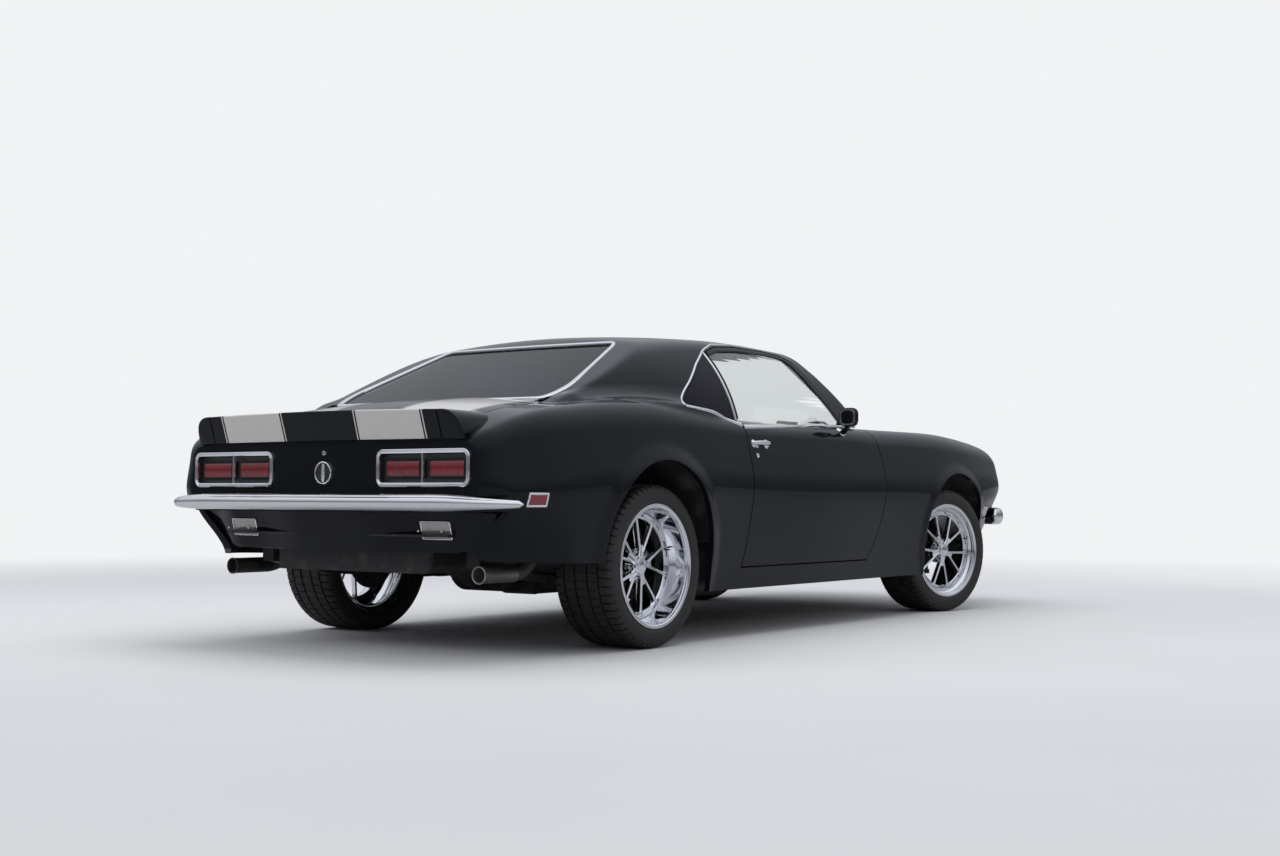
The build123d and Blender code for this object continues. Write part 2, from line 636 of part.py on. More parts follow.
def rim_barrel(width, dish):
    """The wheel's barrel: an outer lip, a step down to the centre and an inner lip."""
    seat, lip, wall = BEAD_RADIUS, RIM_LIP_RADIUS, RIM_WALL
    points = [
        (lip, -8), (lip, -17), (seat, -22), (seat, 22 - width), (lip, 17 - width), (lip, 8 - width),
        (lip - 9, 8 - width), (seat - wall, 30 - width), (seat - wall, -dish - 46), (CENTRE_RADIUS - 6, -dish - 40),
        (CENTRE_RADIUS - 6, -dish), (CENTRE_RADIUS + 5, -dish), (CENTRE_RADIUS + 8, -dish + 14), (lip - 9, -13),
        (lip - 8, -8),
    ]
    return revolve(make_face(Polyline(*points, close=True)), axis=Axis.Y)


def spoke(dish):
    """One split spoke: two arms that part at the hub and meet the centre's outer ring."""
    face_y = -dish - 6
    arms = []
    for side in (-1, 1):
        start, end = radians(side * SPOKE_ROOT_DEG), radians(side * SPOKE_TIP_DEG)
        root = (SPOKE_ROOT_RADIUS * sin(start), SPOKE_ROOT_RADIUS * cos(start))
        tip = (CENTRE_RADIUS * sin(end), CENTRE_RADIUS * cos(end))
        across = Vector(tip[1] - root[1], root[0] - tip[0]).normalized()
        points = [(root[0] - across.X * SPOKE_ROOT_HALF, root[1] - across.Y * SPOKE_ROOT_HALF),
                  (tip[0] - across.X * SPOKE_TIP_HALF, tip[1] - across.Y * SPOKE_TIP_HALF),
                  (tip[0] + across.X * SPOKE_TIP_HALF, tip[1] + across.Y * SPOKE_TIP_HALF),
                  (root[0] + across.X * SPOKE_ROOT_HALF, root[1] + across.Y * SPOKE_ROOT_HALF)]
        arms.append(side_prism(points, face_y - SPOKE_DEPTH, face_y))
    return arms


def rim(width, dish, hub_end, rotor_y, rotor_radius, rotor_depth):
    """A wheel with its hub and brake rotor or drum, about the Y axis, its tyre's outer face at y = 0."""
    wheel = rim_barrel(width, dish)
    arms = []
    for index in range(SPOKE_COUNT):
        turn = Rot(0, index * 360 / SPOKE_COUNT, 0)
        arms += [turn * arm for arm in spoke(dish)]
    hub = cross_bar(0, 0, HUB_RADIUS, -hub_end, -dish + 4)
    cap = cross_bar(0, 0, CAP_RADIUS, -dish, -dish + 14)
    rotor = cross_bar(0, 0, rotor_radius, -rotor_y - rotor_depth, -rotor_y)
    wheel = wheel + arms + hub + cap + rotor
    return wheel - cross_bar(0, 0, SPINDLE_RADIUS + TOUCH, -hub_end - 1, -hub_end + SPINDLE_DEPTH)


def turned(shape, kingpin_y, degrees):
    """A front piece turned about its kingpin."""
    return Pos(FRONT_AXLE_X, kingpin_y, 0) * Rot(0, 0, degrees) * Pos(-FRONT_AXLE_X, -kingpin_y, 0) * shape


def build_wheels():
    """The four tyres and the four wheels."""
    for end, axle_x, face_y, width, dish, hub_end, rotor in (
            ("front", FRONT_AXLE_X, FRONT_WHEEL_FACE_Y, FRONT_TYRE_WIDTH, FRONT_DISH, FRONT_HUB_END, FRONT_ROTOR),
            ("rear", REAR_AXLE_X, REAR_WHEEL_FACE_Y, REAR_TYRE_WIDTH, REAR_DISH, REAR_HUB_END, REAR_DRUM)):
        steer = REST_STEER_DEG if end == "front" else 0.0
        tyre_shape = tyre(width)
        rim_shape = rim(width, dish, hub_end, *rotor)
        for side, sign in (("left", 1), ("right", -1)):
            for name, shape in (("tyre", tyre_shape), ("rim", rim_shape)):
                placed = Pos(axle_x, face_y, TYRE_RADIUS) * shape
                if sign < 0:
                    placed = mirror(placed, about=Plane.XZ)
                if steer:
                    placed = turned(placed, sign * KINGPIN_Y, steer)
                keep(f"{name}_{end}_{side}", placed)


def build_knuckles():
    """The steering knuckles: an upright on the kingpin, a spindle and a steering arm."""
    upright = rod((FRONT_AXLE_X, KINGPIN_Y, KINGPIN_LOW_Z), (FRONT_AXLE_X, KINGPIN_Y, KINGPIN_HIGH_Z), 17)
    spindle = cross_bar(FRONT_AXLE_X, TYRE_RADIUS, SPINDLE_RADIUS, KINGPIN_Y,
                        FRONT_WHEEL_FACE_Y - FRONT_HUB_END + SPINDLE_DEPTH - 2)
    flange = cross_bar(FRONT_AXLE_X, TYRE_RADIUS, 42, KINGPIN_Y - 20, FRONT_WHEEL_FACE_Y - FRONT_HUB_END - 2)
    arm = block(FRONT_AXLE_X + 10, FRONT_AXLE_X + 120, KINGPIN_Y - 22, KINGPIN_Y - 4, 262, 282)
    knuckle = Part() + [upright, spindle, flange, arm]
    for side, sign in (("left", 1), ("right", -1)):
        placed = knuckle if sign > 0 else mirror(knuckle, about=Plane.XZ)
        keep(f"knuckle_{side}", turned(placed, sign * KINGPIN_Y, REST_STEER_DEG))


def build_front_chassis():
    """The front subframe with the control arms that carry the knuckles."""
    rail = block(RAIL_REAR_X, RAIL_FRONT_X, RAIL_INNER_Y, RAIL_OUTER_Y, RAIL_LOW_Z, RAIL_HIGH_Z)
    member = side_prism([(FRONT_AXLE_X - 90, 190), (FRONT_AXLE_X + 90, 190), (FRONT_AXLE_X + 60, RAIL_LOW_Z + 30),
                         (FRONT_AXLE_X - 60, RAIL_LOW_Z + 30)], -RAIL_OUTER_Y, RAIL_OUTER_Y)
    front_tie = block(RAIL_FRONT_X - 60, RAIL_FRONT_X, -RAIL_OUTER_Y, RAIL_OUTER_Y, RAIL_LOW_Z, RAIL_HIGH_Z)
    arms = []
    for low, high, spread in ((KINGPIN_LOW_Z - TOUCH - 22, KINGPIN_LOW_Z - TOUCH, 110),
                              (KINGPIN_HIGH_Z + TOUCH, KINGPIN_HIGH_Z + TOUCH + 20, 90)):
        points = [(FRONT_AXLE_X - spread, RAIL_OUTER_Y - 10), (FRONT_AXLE_X - 30, KINGPIN_Y + 12),
                  (FRONT_AXLE_X + 30, KINGPIN_Y + 12), (FRONT_AXLE_X + spread, RAIL_OUTER_Y - 10)]
        hollow = [(FRONT_AXLE_X - spread + 45, RAIL_OUTER_Y + 30), (FRONT_AXLE_X - 15, KINGPIN_Y - 70),
                  (FRONT_AXLE_X + 15, KINGPIN_Y - 70), (FRONT_AXLE_X + spread - 45, RAIL_OUTER_Y + 30)]
        arms.append(plan_prism(points, low, high) - plan_prism(hollow, low - 1, high + 1))
    tower = block(FRONT_AXLE_X - 90, FRONT_AXLE_X + 90, RAIL_OUTER_Y - 50, RAIL_OUTER_Y, RAIL_HIGH_Z - 5,
                  KINGPIN_HIGH_Z + 30)
    side = rail + tower + arms
    keep("subframe", side + mirror(side, about=Plane.XZ) + member + front_tie)


def build_rear_chassis():
    """The rear axle with its leaf springs and driveshaft."""
    drum_inner = REAR_WHEEL_FACE_Y - REAR_HUB_END
    tube = cross_bar(REAR_AXLE_X, TYRE_RADIUS, 40, -drum_inner + 12, drum_inner - 12)
    case = cross_bar(REAR_AXLE_X, TYRE_RADIUS, 125, -95, 95)
    nose = rod((REAR_AXLE_X, 0, TYRE_RADIUS), (REAR_AXLE_X + 210, 0, TYRE_RADIUS), 62)
    plates = [cross_bar(REAR_AXLE_X, TYRE_RADIUS, 136, sign * (drum_inner - 12), sign * (drum_inner - 3))
              for sign in (1, -1)]
    shafts = [cross_bar(REAR_AXLE_X, TYRE_RADIUS, SPINDLE_RADIUS, sign * (drum_inner - 20),
                        sign * (drum_inner + SPINDLE_DEPTH - 2)) for sign in (1, -1)]
    driveshaft = rod((REAR_AXLE_X, 0, TYRE_RADIUS), (GEARBOX_REAR_X - TOUCH, 0, GEARBOX_Z), 38)
    low = TYRE_RADIUS - 38
    ends = ((SPRING_FRONT_X, SPRING_FRONT_Z), (SPRING_REAR_X, SPRING_REAR_Z))
    top = ThreePointArc(ends[0], (REAR_AXLE_X, low), ends[1])
    base = ThreePointArc((ends[1][0], ends[1][1] - SPRING_DEPTH), (REAR_AXLE_X, low - SPRING_DEPTH),
                         (ends[0][0], ends[0][1] - SPRING_DEPTH))
    sides = [Line(ends[1], (ends[1][0], ends[1][1] - SPRING_DEPTH)), Line((ends[0][0], ends[0][1] - SPRING_DEPTH),
                                                                         ends[0])]
    face = make_face([top.edge(), base.edge(), *[side.edge() for side in sides]])
    leaf = extrude(Plane(origin=(0, SPRING_Y + 30, 0), x_dir=(1, 0, 0), z_dir=(0, -1, 0)) * face, 60)
    hangers = [block(x - 25, x + 25, SPRING_Y - 30, SPRING_Y + 30, z - SPRING_DEPTH, floor_z)
               for x, z, floor_z in ((SPRING_FRONT_X, SPRING_FRONT_Z, KICK_Z - FLOOR - TOUCH),
                                     (SPRING_REAR_X, SPRING_REAR_Z, TRUNK_Z - FLOOR - TOUCH))]
    springs = Part() + [leaf, *hangers]
    keep("rear_axle", Part() + [tube, case, nose, driveshaft, *plates, *shafts, springs, mirror(springs, about=Plane.XZ)])


def build_floor():
    """The floor pan with its tunnel, firewall, rear wheelhouses and trunk floor."""
    line = [(FIREWALL_X, 440), (480, FLOOR_Z), (-760, FLOOR_Z), (-850, KICK_Z), (-1130, KICK_Z), (-1190, 545),
            (-1560, 545), (-1620, TRUNK_Z), (TRUNK_REAR_X, TRUNK_Z)]
    under = [(x, z - FLOOR) for x, z in reversed(line)]
    pan = side_prism(line + under, -ROCKER_INNER_Y + TOUCH, ROCKER_INNER_Y - TOUCH)
    pan -= both(block(-3000, WELL_FRONT_X, WELL_Y, 1000, 0, 1000))
    firewall = block(FIREWALL_X - 3, FIREWALL_X + 9, -FIREWALL_HALF_WIDTH, FIREWALL_HALF_WIDTH, 425, 1000)
    firewall &= body_solid(COWL_DEPTH + TOUCH, SILL_Z - 50)
    hump = side_prism([(FIREWALL_X, TUNNEL_FRONT_Z), (TUNNEL_REAR_X, TUNNEL_REAR_Z), (TUNNEL_REAR_X, 100),
                       (FIREWALL_X, 100)], -TUNNEL_HALF, TUNNEL_HALF)
    hollow = side_prism([(FIREWALL_X + 50, TUNNEL_FRONT_Z - FLOOR), (TUNNEL_REAR_X, TUNNEL_REAR_Z - FLOOR),
                         (-1300, TUNNEL_REAR_Z - FLOOR), (-1300, 100), (FIREWALL_X + 50, 100)],
                        -TUNNEL_HALF + FLOOR, TUNNEL_HALF - FLOOR)
    hump &= block(-2000, 1000, -500, 500, FLOOR_Z - FLOOR, 1000)
    well = cross_bar(REAR_AXLE_X, REAR_ARCH_Z, WELL_RADIUS, WELL_Y - 8, 950)
    well -= cross_bar(REAR_AXLE_X, REAR_ARCH_Z, WELL_RADIUS - 8, WELL_Y, 960)
    well &= BODY_INSIDE & block(-2000, 0, 0, 1000, 400, 1200)
    wells = both(well).solids()
    floor = pan + hump + firewall + list(wells) - hollow
    keep("floor_pan", floor)


def build_front_inner():
    """The inner fenders over the front wheels, the radiator with its support and the engine with its gearbox."""
    well = cross_bar(FRONT_AXLE_X, FRONT_ARCH_Z, FRONT_WELL_RADIUS, APRON_Y, 950)
    well -= cross_bar(FRONT_AXLE_X, FRONT_ARCH_Z, FRONT_WELL_RADIUS - 8, APRON_Y - 1, 960)
    apron = block(FIREWALL_X + 9 + TOUCH, RADIATOR_X - TOUCH, APRON_Y, APRON_Y + 8, 432, 840)
    inner = (well & block(500, 3000, 0, 1000, 432, 1200)) + apron
    inner -= block(FRONT_AXLE_X - 115, FRONT_AXLE_X + 115, 400, 520, 400, KINGPIN_HIGH_Z + 36)
    inner &= BODY_INSIDE
    keep("inner_fenders", both(largest(inner)))
    support = block(RADIATOR_X, RADIATOR_X + 25, -700, 700, RAIL_HIGH_Z + TOUCH, 780)
    core = block(RADIATOR_X - 50, RADIATOR_X + 25, -330, 330, RAIL_HIGH_Z + TOUCH, 760)
    keep("radiator", support + core)
    engine = Part() + [block(680, 1330, -250, 250, 300, 700), block(700, 1300, -330, 330, 560, 760),
                       block(860, 1200, -170, 170, 700, 850)]
    gearbox = loft([Plane(origin=(x, 0, z), x_dir=(0, 1, 0), z_dir=(-1, 0, 0)) * RectangleRounded(2 * y, 2 * y, 20)
                    for x, y, z in ((690, 115, 350), (300, 95, GEARBOX_Z), (GEARBOX_REAR_X, 60, GEARBOX_Z))],
                   ruled=True)
    keep("engine", engine + gearbox)


def build_cabin():
    """The seats, and the dashboard with the steering wheel."""
    y_low, y_high = FRONT_SEAT_Y
    cushion = block(-520, 10, y_low, y_high, 330, 460)
    pedestal = block(-430, -60, y_low + 60, y_high - 60, FLOOR_Z + TOUCH, 335)
    back = side_prism([(-430, 400), (-560, 400), (-720, 860), (-630, 870)], y_low, y_high)
    front = both(cushion + pedestal + back).solids()
    bench = block(-1110, -800, -REAR_SEAT_HALF, REAR_SEAT_HALF, KICK_Z + TOUCH, 500)
    rear_back = side_prism([(-1000, 480), (-1120, 480), (-1125, 560), (-1210, 870), (-1120, 870)], -REAR_SEAT_HALF,
                           REAR_SEAT_HALF)
    keep("seats", Compound(children=[*front, (bench + rear_back).solid()]))
    dash = [(FIREWALL_X - 3 - TOUCH, 845), (380, 858), (318, 830), (345, 690), (470, 660), (FIREWALL_X - 3 - TOUCH, 700)]
    wheel_place = Plane(origin=(STEERING_X, STEERING_Y, STEERING_Z), z_dir=(-cos(radians(22)), 0, sin(radians(22))))
    ring = wheel_place * Torus(STEERING_RADIUS, 13)
    hub = wheel_place * Pos(0, 0, -20) * Cylinder(45, 40)
    spokes = [wheel_place * Rot(0, 0, angle) * Pos(STEERING_RADIUS / 2, 0, -10) * Box(STEERING_RADIUS, 30, 8)
              for angle in (90, 210, 330)]
    axis = Vector(cos(radians(22)), 0, -sin(radians(22)))
    origin = Vector(STEERING_X, STEERING_Y, STEERING_Z)
    column = rod(tuple(origin), tuple(origin + axis * 190), 24)
    keep("dashboard", side_prism(dash, -DASH_HALF, DASH_HALF) + [ring, hub, column, *spokes])


def pipe(points, radii, radius):
    """A round pipe along straight runs joined by arcs."""
    path = FilletPolyline(*points, radius=radii)
    return sweep(Plane(origin=path @ 0, z_dir=path % 0) * Circle(radius), path=path)


def build_exhaust_and_tank():
    """The dual exhaust and the fuel tank."""
    z = MUFFLER_Z
    front = pipe([(680 - TOUCH, 200, 320), (630, 200, 320), (540, 240, z), (-150, 330, z)], [30, 100], 26)
    muffler = Pos(-430, 330, z) * Rot(0, 90, 0) * extrude(RectangleRounded(85, 220, 40), 290, both=True)
    rear = pipe([(-700, 330, z), (-860, 345, z), (-1110, 430, 265), (-1250, 455, 425), (-1430, 455, 425),
                 (-1590, 458, 395), (-1690, 460, 390), (-1800, 640, 388), (-1880, 645, 303), (-2195, 645, 303)],
                [100, 100, 100, 80, 80, 60, 45, 45], 29)
    keep("exhaust", both(front + muffler + rear))
    tank = block(-2120, -1680, -400, 400, 300, TRUNK_Z - FLOOR - TOUCH)
    keep("fuel_tank", fillet(tank.edges().filter_by(Axis.X) + tank.edges().filter_by(Axis.Z), 30))


def build_lamps():
    """Tail lamps, fuel cap, reverse lamps, side markers, grille and headlamps."""
    y_mid = (TAIL_LAMP_Y[0] + TAIL_LAMP_Y[1]) / 2
    z_mid = (TAIL_LAMP_Z[0] + TAIL_LAMP_Z[1]) / 2
    width, height = TAIL_LAMP_Y[1] - TAIL_LAMP_Y[0], TAIL_LAMP_Z[1] - TAIL_LAMP_Z[0]
    face = Plane(origin=(TAIL_X - TOUCH, y_mid, z_mid), x_dir=(0, 1, 0), z_dir=(-1, 0, 0))
    plate = extrude(face * RectangleRounded(width, height, 36), LAMP_DEPTH)
    cell = (width - 3 * BEZEL) / 2
    for side in (-1, 1):
        place = Pos(side * (cell + BEZEL) / 2, 0)
        plate -= extrude(face.offset(LAMP_DEPTH - 10) * place * RectangleRounded(cell, height - 2 * BEZEL, 20), 20)
        plate += extrude(face.offset(LAMP_DEPTH - 12) * place * RectangleRounded(cell - 50, height - 78, 6), 9)
    keep("tail_lamps", both(plate))
    cap = cross_disc(TAIL_X - TOUCH, 0, 668, 44, 14)
    lock = cross_disc(TAIL_X - TOUCH, 0, 742, 9, 8)
    keep("fuel_cap", Compound(children=[cap.solid(), lock.solid()]))
    lean = [(x - TOUCH, z) for x, z in ((-2254, 482), (-2240.6, 482), (-2227.7, 434), (-2241, 434))]
    small = [side_prism(lean, *REVERSE_LAMP_Y).solid()]
    for x, z in SIDE_MARKERS:
        small.append(largest(raised_patch(TOUCH, 4, block(x - 52, x + 52, 700, 1000, z - 24, z + 24))))
    keep("small_lamps", both(Compound(children=small)))


def build_front_face():
    """The grille with its headlamps, and the front valance."""
    zone = body_solid(SKIN + TOUCH, 150)
    face = Plane(origin=(GRILLE_X, 0, GRILLE_MID_Z), x_dir=(0, 1, 0), z_dir=(1, 0, 0))
    sheet = Rectangle(1600, GRILLE_HEIGHT)
    cells = GridLocations(GRILLE_PITCH_Y, GRILLE_PITCH_Z, GRILLE_COLUMNS, GRILLE_ROWS)
    sheet -= cells * Rectangle(GRILLE_PITCH_Y - 6, GRILLE_PITCH_Z - 5)
    lamps = [Pos(side * HEADLAMP_Y, 0) * Circle(HEADLAMP_RADIUS + 16) for side in (-1, 1)]
    sheet = sheet + lamps - [Pos(side * HEADLAMP_Y, 0) * Circle(HEADLAMP_RADIUS + TOUCH) for side in (-1, 1)]
    keep("grille", largest(extrude(face * sheet, 22) & zone))
    lamp = Pos(0, 0, 0) * Cylinder(HEADLAMP_RADIUS, 30) + Pos(0, 0, 15) * Cylinder(HEADLAMP_RADIUS - 14, 10)
    placed = Plane(origin=(GRILLE_X + 10, HEADLAMP_Y, GRILLE_MID_Z), z_dir=(1, 0, 0)) * lamp
    keep("headlamps", both(placed))
    lean = [(2284, 462), (2270, 462), (2216, 302), (2230, 302)]
    keep("front_valance", largest(side_prism(lean, -1000, 1000) & zone))


def build_fittings():
    """The door mirrors and handles."""
    head = Pos(MIRROR_X, MIRROR_Y, MIRROR_Z) * Box(48, 120, 92)
    head = fillet(head.edges().filter_by(Axis.X), 30)
    stalk = rod((MIRROR_X + 10, MIRROR_Y - 10, MIRROR_Z - 30), (MIRROR_X + 40, 838, 880), 13)
    mirror_head = largest(head + stalk - BODY_PROUD)
    handle = raised_patch(14, 26, block(HANDLE_X - 68, HANDLE_X + 68, 800, 1000, 806, 824))
    for start, end in ((-64, -40), (36, 64)):
        handle += raised_patch(TOUCH, 20, block(HANDLE_X + start, HANDLE_X + end, 800, 1000, 803, 827))
    left_and_right("door_fittings", Compound(children=[mirror_head, largest(handle)]))


STEPS = (build_fenders, build_quarters, build_rockers, build_doors, build_hood_and_lid, build_tail, build_roof,
         build_spoiler, build_bumpers, build_wheels, build_knuckles, build_front_chassis, build_rear_chassis,
         build_floor, build_front_inner, build_cabin, build_exhaust_and_tank, build_lamps, build_front_face,
         build_fittings)

if __name__ == "__main__":
    for step in STEPS:
        step()
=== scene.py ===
"""The looks of a two-door hardtop muscle car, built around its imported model.

Sizes are in millimetres in the tables and in the mesh code, and a piece is scaled to metres when it is made.
The frame is the car's own: +X forward, +Y to its left, +Z up, and the ground at zero.
"""
import logging
import math
from dataclasses import dataclass
from enum import Enum
from typing import Callable, Iterable, Optional, Sequence

import bmesh
import bpy
import numpy as np
from mathutils import Matrix, Vector


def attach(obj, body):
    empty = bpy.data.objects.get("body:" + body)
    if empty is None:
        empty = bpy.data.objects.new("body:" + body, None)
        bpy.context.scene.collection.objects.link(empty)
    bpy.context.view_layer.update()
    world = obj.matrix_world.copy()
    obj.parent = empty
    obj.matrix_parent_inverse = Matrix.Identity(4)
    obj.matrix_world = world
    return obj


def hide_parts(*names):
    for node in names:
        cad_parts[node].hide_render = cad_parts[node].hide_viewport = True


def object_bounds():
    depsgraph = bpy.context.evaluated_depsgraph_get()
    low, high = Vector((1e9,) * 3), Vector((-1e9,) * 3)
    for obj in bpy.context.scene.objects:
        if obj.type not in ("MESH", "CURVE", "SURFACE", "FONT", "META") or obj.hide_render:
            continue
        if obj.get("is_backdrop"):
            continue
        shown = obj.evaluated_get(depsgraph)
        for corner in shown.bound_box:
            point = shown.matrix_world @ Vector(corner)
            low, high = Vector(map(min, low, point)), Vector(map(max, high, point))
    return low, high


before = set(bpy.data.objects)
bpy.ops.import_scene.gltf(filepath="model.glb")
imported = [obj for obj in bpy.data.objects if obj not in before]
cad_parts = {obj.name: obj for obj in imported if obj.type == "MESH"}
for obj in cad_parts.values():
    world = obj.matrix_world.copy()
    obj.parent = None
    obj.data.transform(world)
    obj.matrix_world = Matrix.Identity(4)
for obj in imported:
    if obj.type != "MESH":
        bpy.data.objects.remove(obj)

log = logging.getLogger("muscle_car")

MM = 0.001

WHEELBASE = 2746.0
REAR_AXLE_X = -1333.0
FRONT_AXLE_X = REAR_AXLE_X + WHEELBASE
NOSE_X = 2290.0
TAIL_X = -2255.0
SILL_Z = 205.0
SEAM = 6.0
SKIN = 18.0
TYRE_RADIUS = 318.0
KINGPIN_Y = 712.0
REST_STEER_DEG = -14.0
LID_FRONT_X = -1760.0
LID_REAR_X = -2231.0
LID_HALF_WIDTH = 592.0
MOUTH_REAR_X = -1640.0
COWL_REAR_X = 440.0
COWL_HALF_WIDTH = 764.0
HOOD_REAR_X = 650.0
HOOD_FRONT_X = 2222.0
HEADER_HALF_WIDTH = 640.0

Points = np.ndarray
FRONT_ARCH = (FRONT_AXLE_X, 343, 377)
REAR_ARCH = (REAR_AXLE_X, 363, 366)
PALE = (0.88, 0.89, 0.90, 1)
FULL_TURN = 2 * math.pi
WELD = 0.00002
ON_SURFACE = 0.9


class Side(Enum):
    """The car's two sides, with the sign of their Y."""

    LEFT = 1
    RIGHT = -1

    @property
    def word(self) -> str:
        """The side's name in lower case."""
        return self.name.lower()

    @property
    def mirror(self) -> Points:
        """What a point on the left is multiplied by to lie on this side."""
        return np.array([1, self.value, 1])

    def span(self, low: float, high: float) -> tuple:
        """A span of angles about the hub line, given for the left."""
        return (low, high) if self is Side.LEFT else (180 - high, 180 - low)

    def once(self, node: str) -> tuple:
        """A node that both sides share, named with the left one only."""
        return (node,) if self is Side.LEFT else ()


# Shader maths

def plug(tree: bpy.types.NodeTree, slot: bpy.types.NodeSocket, value: "Value | float | tuple") -> None:
    """Links a socket to a value, or sets it."""
    if isinstance(value, Value):
        tree.links.new(value.socket, slot)
    else:
        slot.default_value = value


def add_node(tree: bpy.types.NodeTree, kind: str, settings: Optional[dict] = None, inputs: Optional[dict] = None,
             output: "int | str" = 0) -> "Value":
    """Adds any node.

    Args:
        tree: where it goes.
        kind: its type, without the ShaderNode prefix.
        settings: its properties, set first; stops is a ramp's list of (position, colour).
        inputs: the values or links of its sockets, by name or index.
        output: the socket to return.

    Returns:
        The chosen output.
    """
    made = tree.nodes.new("ShaderNode" + kind)
    for key, value in (settings or {}).items():
        if key == "stops":
            ramp = made.color_ramp.elements
            while len(ramp) < len(value):
                ramp.new(0.5)
            for element, (position, colour) in zip(ramp, value):
                element.position = position
                element.color = colour
        else:
            setattr(made, key, value)
    for key, value in (inputs or {}).items():
        plug(tree, made.inputs[key], value)
    return Value(tree, made.outputs[output])


@dataclass(frozen=True)
class Value:
    """A socket that takes part in Python expressions, each of which adds a Math node."""

    tree: bpy.types.NodeTree
    socket: bpy.types.NodeSocket

    def _math(self, operation: str, *others: "Value | float") -> "Value":
        """Adds one Math node on self and the others."""
        return add_node(self.tree, "Math", {"operation": operation}, dict(enumerate((self, *others))))

    def __add__(self, other: "Value | float") -> "Value":
        """self + other."""
        return self._math("ADD", other)

    def __sub__(self, other: "Value | float") -> "Value":
        """self - other."""
        return self._math("SUBTRACT", other)

    def __mul__(self, other: "Value | float") -> "Value":
        """self * other."""
        return self._math("MULTIPLY", other)

    def __abs__(self) -> "Value":
        """The size of self without its sign."""
        return self._math("ABSOLUTE")

    def __gt__(self, other: "Value | float") -> "Value":
        """1 where self is more than other, else 0."""
        return self._math("GREATER_THAN", other)

    def __lt__(self, other: "Value | float") -> "Value":
        """1 where self is less than other, else 0."""
        return self._math("LESS_THAN", other)


class Shade:
    """One material with its Principled shader, and the calls that add nodes to it."""

    def __init__(self, name: str) -> None:
        """Makes the material; place is the point on the mesh, in metres in the car's frame."""
        self.material = bpy.data.materials.new(name)
        self.material.use_nodes = True
        self.tree = self.material.node_tree
        self.shader = self.tree.nodes["Principled BSDF"]
        self.place = self.node("TexCoord", output="Object")

    def node(self, kind: str, settings: Optional[dict] = None, inputs: Optional[dict] = None,
             output: "int | str" = 0) -> Value:
        """Adds any node, as add_node does."""
        return add_node(self.tree, kind, settings, inputs, output)

    def along(self, axis: str) -> Value:
        """One coordinate of the point on the mesh."""
        return self.node("SeparateXYZ", inputs={0: self.place}, output=axis)

    def noise(self, scale: float, detail: float = 3.0, roughness: float = 0.55) -> Value:
        """Noise of a scale per metre, from 0 to 1."""
        return self.node("TexNoise", inputs={"Vector": self.place, "Scale": scale, "Detail": detail,
                                             "Roughness": roughness}, output="Fac")

    def mix(self, share: "Value | float", low: "Value | tuple", high: "Value | tuple") -> Value:
        """A colour between two."""
        return self.node("Mix", {"data_type": "RGBA"}, {0: share, 6: low, 7: high}, output=2)

    def step(self, value: Value, low: float, high: float) -> Value:
        """0 below low, 1 above high, and smooth between."""
        return self.node("MapRange", {"interpolation_type": "SMOOTHSTEP"},
                         {"Value": value, "From Min": low, "From Max": high})

    def bump(self, height: Value, distance: float, strength: float = 1.0) -> None:
        """Feeds the shader's normal from a height."""
        self.feed(Normal=self.node("Bump", inputs={"Height": height, "Distance": distance, "Strength": strength}))

    def feed(self, **links: "Value | float | tuple") -> None:
        """Sets or links the shader's sockets; underscores stand for spaces."""
        for key, value in links.items():
            plug(self.tree, self.shader.inputs[key.replace("_", " ")], value)


def opaque(colour: tuple, share: float = 1.0) -> tuple:
    """A colour with its alpha, made lighter or darker."""
    return tuple(min(1.0, c * share) for c in colour) + (1.0,)


@dataclass(frozen=True)
class Finish:
    """A finish with a base colour, roughness and fine relief."""

    name: str
    colour: tuple
    roughness: float
    metallic: float = 0.0
    coat: float = 0.0
    grain_scale: float = 120.0
    grain_depth: float = 0.0
    tone: float = 0.15
    wear: float = 0.0

    def make(self) -> Shade:
        """Builds the material."""
        shade = Shade(self.name)
        patch = shade.noise(self.grain_scale * 0.12, 4.0)
        colour = shade.mix(patch, opaque(self.colour, 1 - self.tone), opaque(self.colour, 1 + self.tone))
        if self.wear:
            dusty = shade.step(shade.noise(9.0, 6.0, 0.65), 0.48, 0.75) * self.wear
            colour = shade.mix(dusty, colour, (0.16, 0.14, 0.12, 1.0))
        shade.feed(Base_Color=colour, Roughness=patch * (self.roughness * 0.3) + self.roughness * 0.85,
                   Metallic=self.metallic, Coat_Weight=self.coat, Coat_Roughness=0.03)
        if self.grain_depth:
            shade.bump(shade.noise(self.grain_scale * 6, 2.0), self.grain_depth)
        return shade


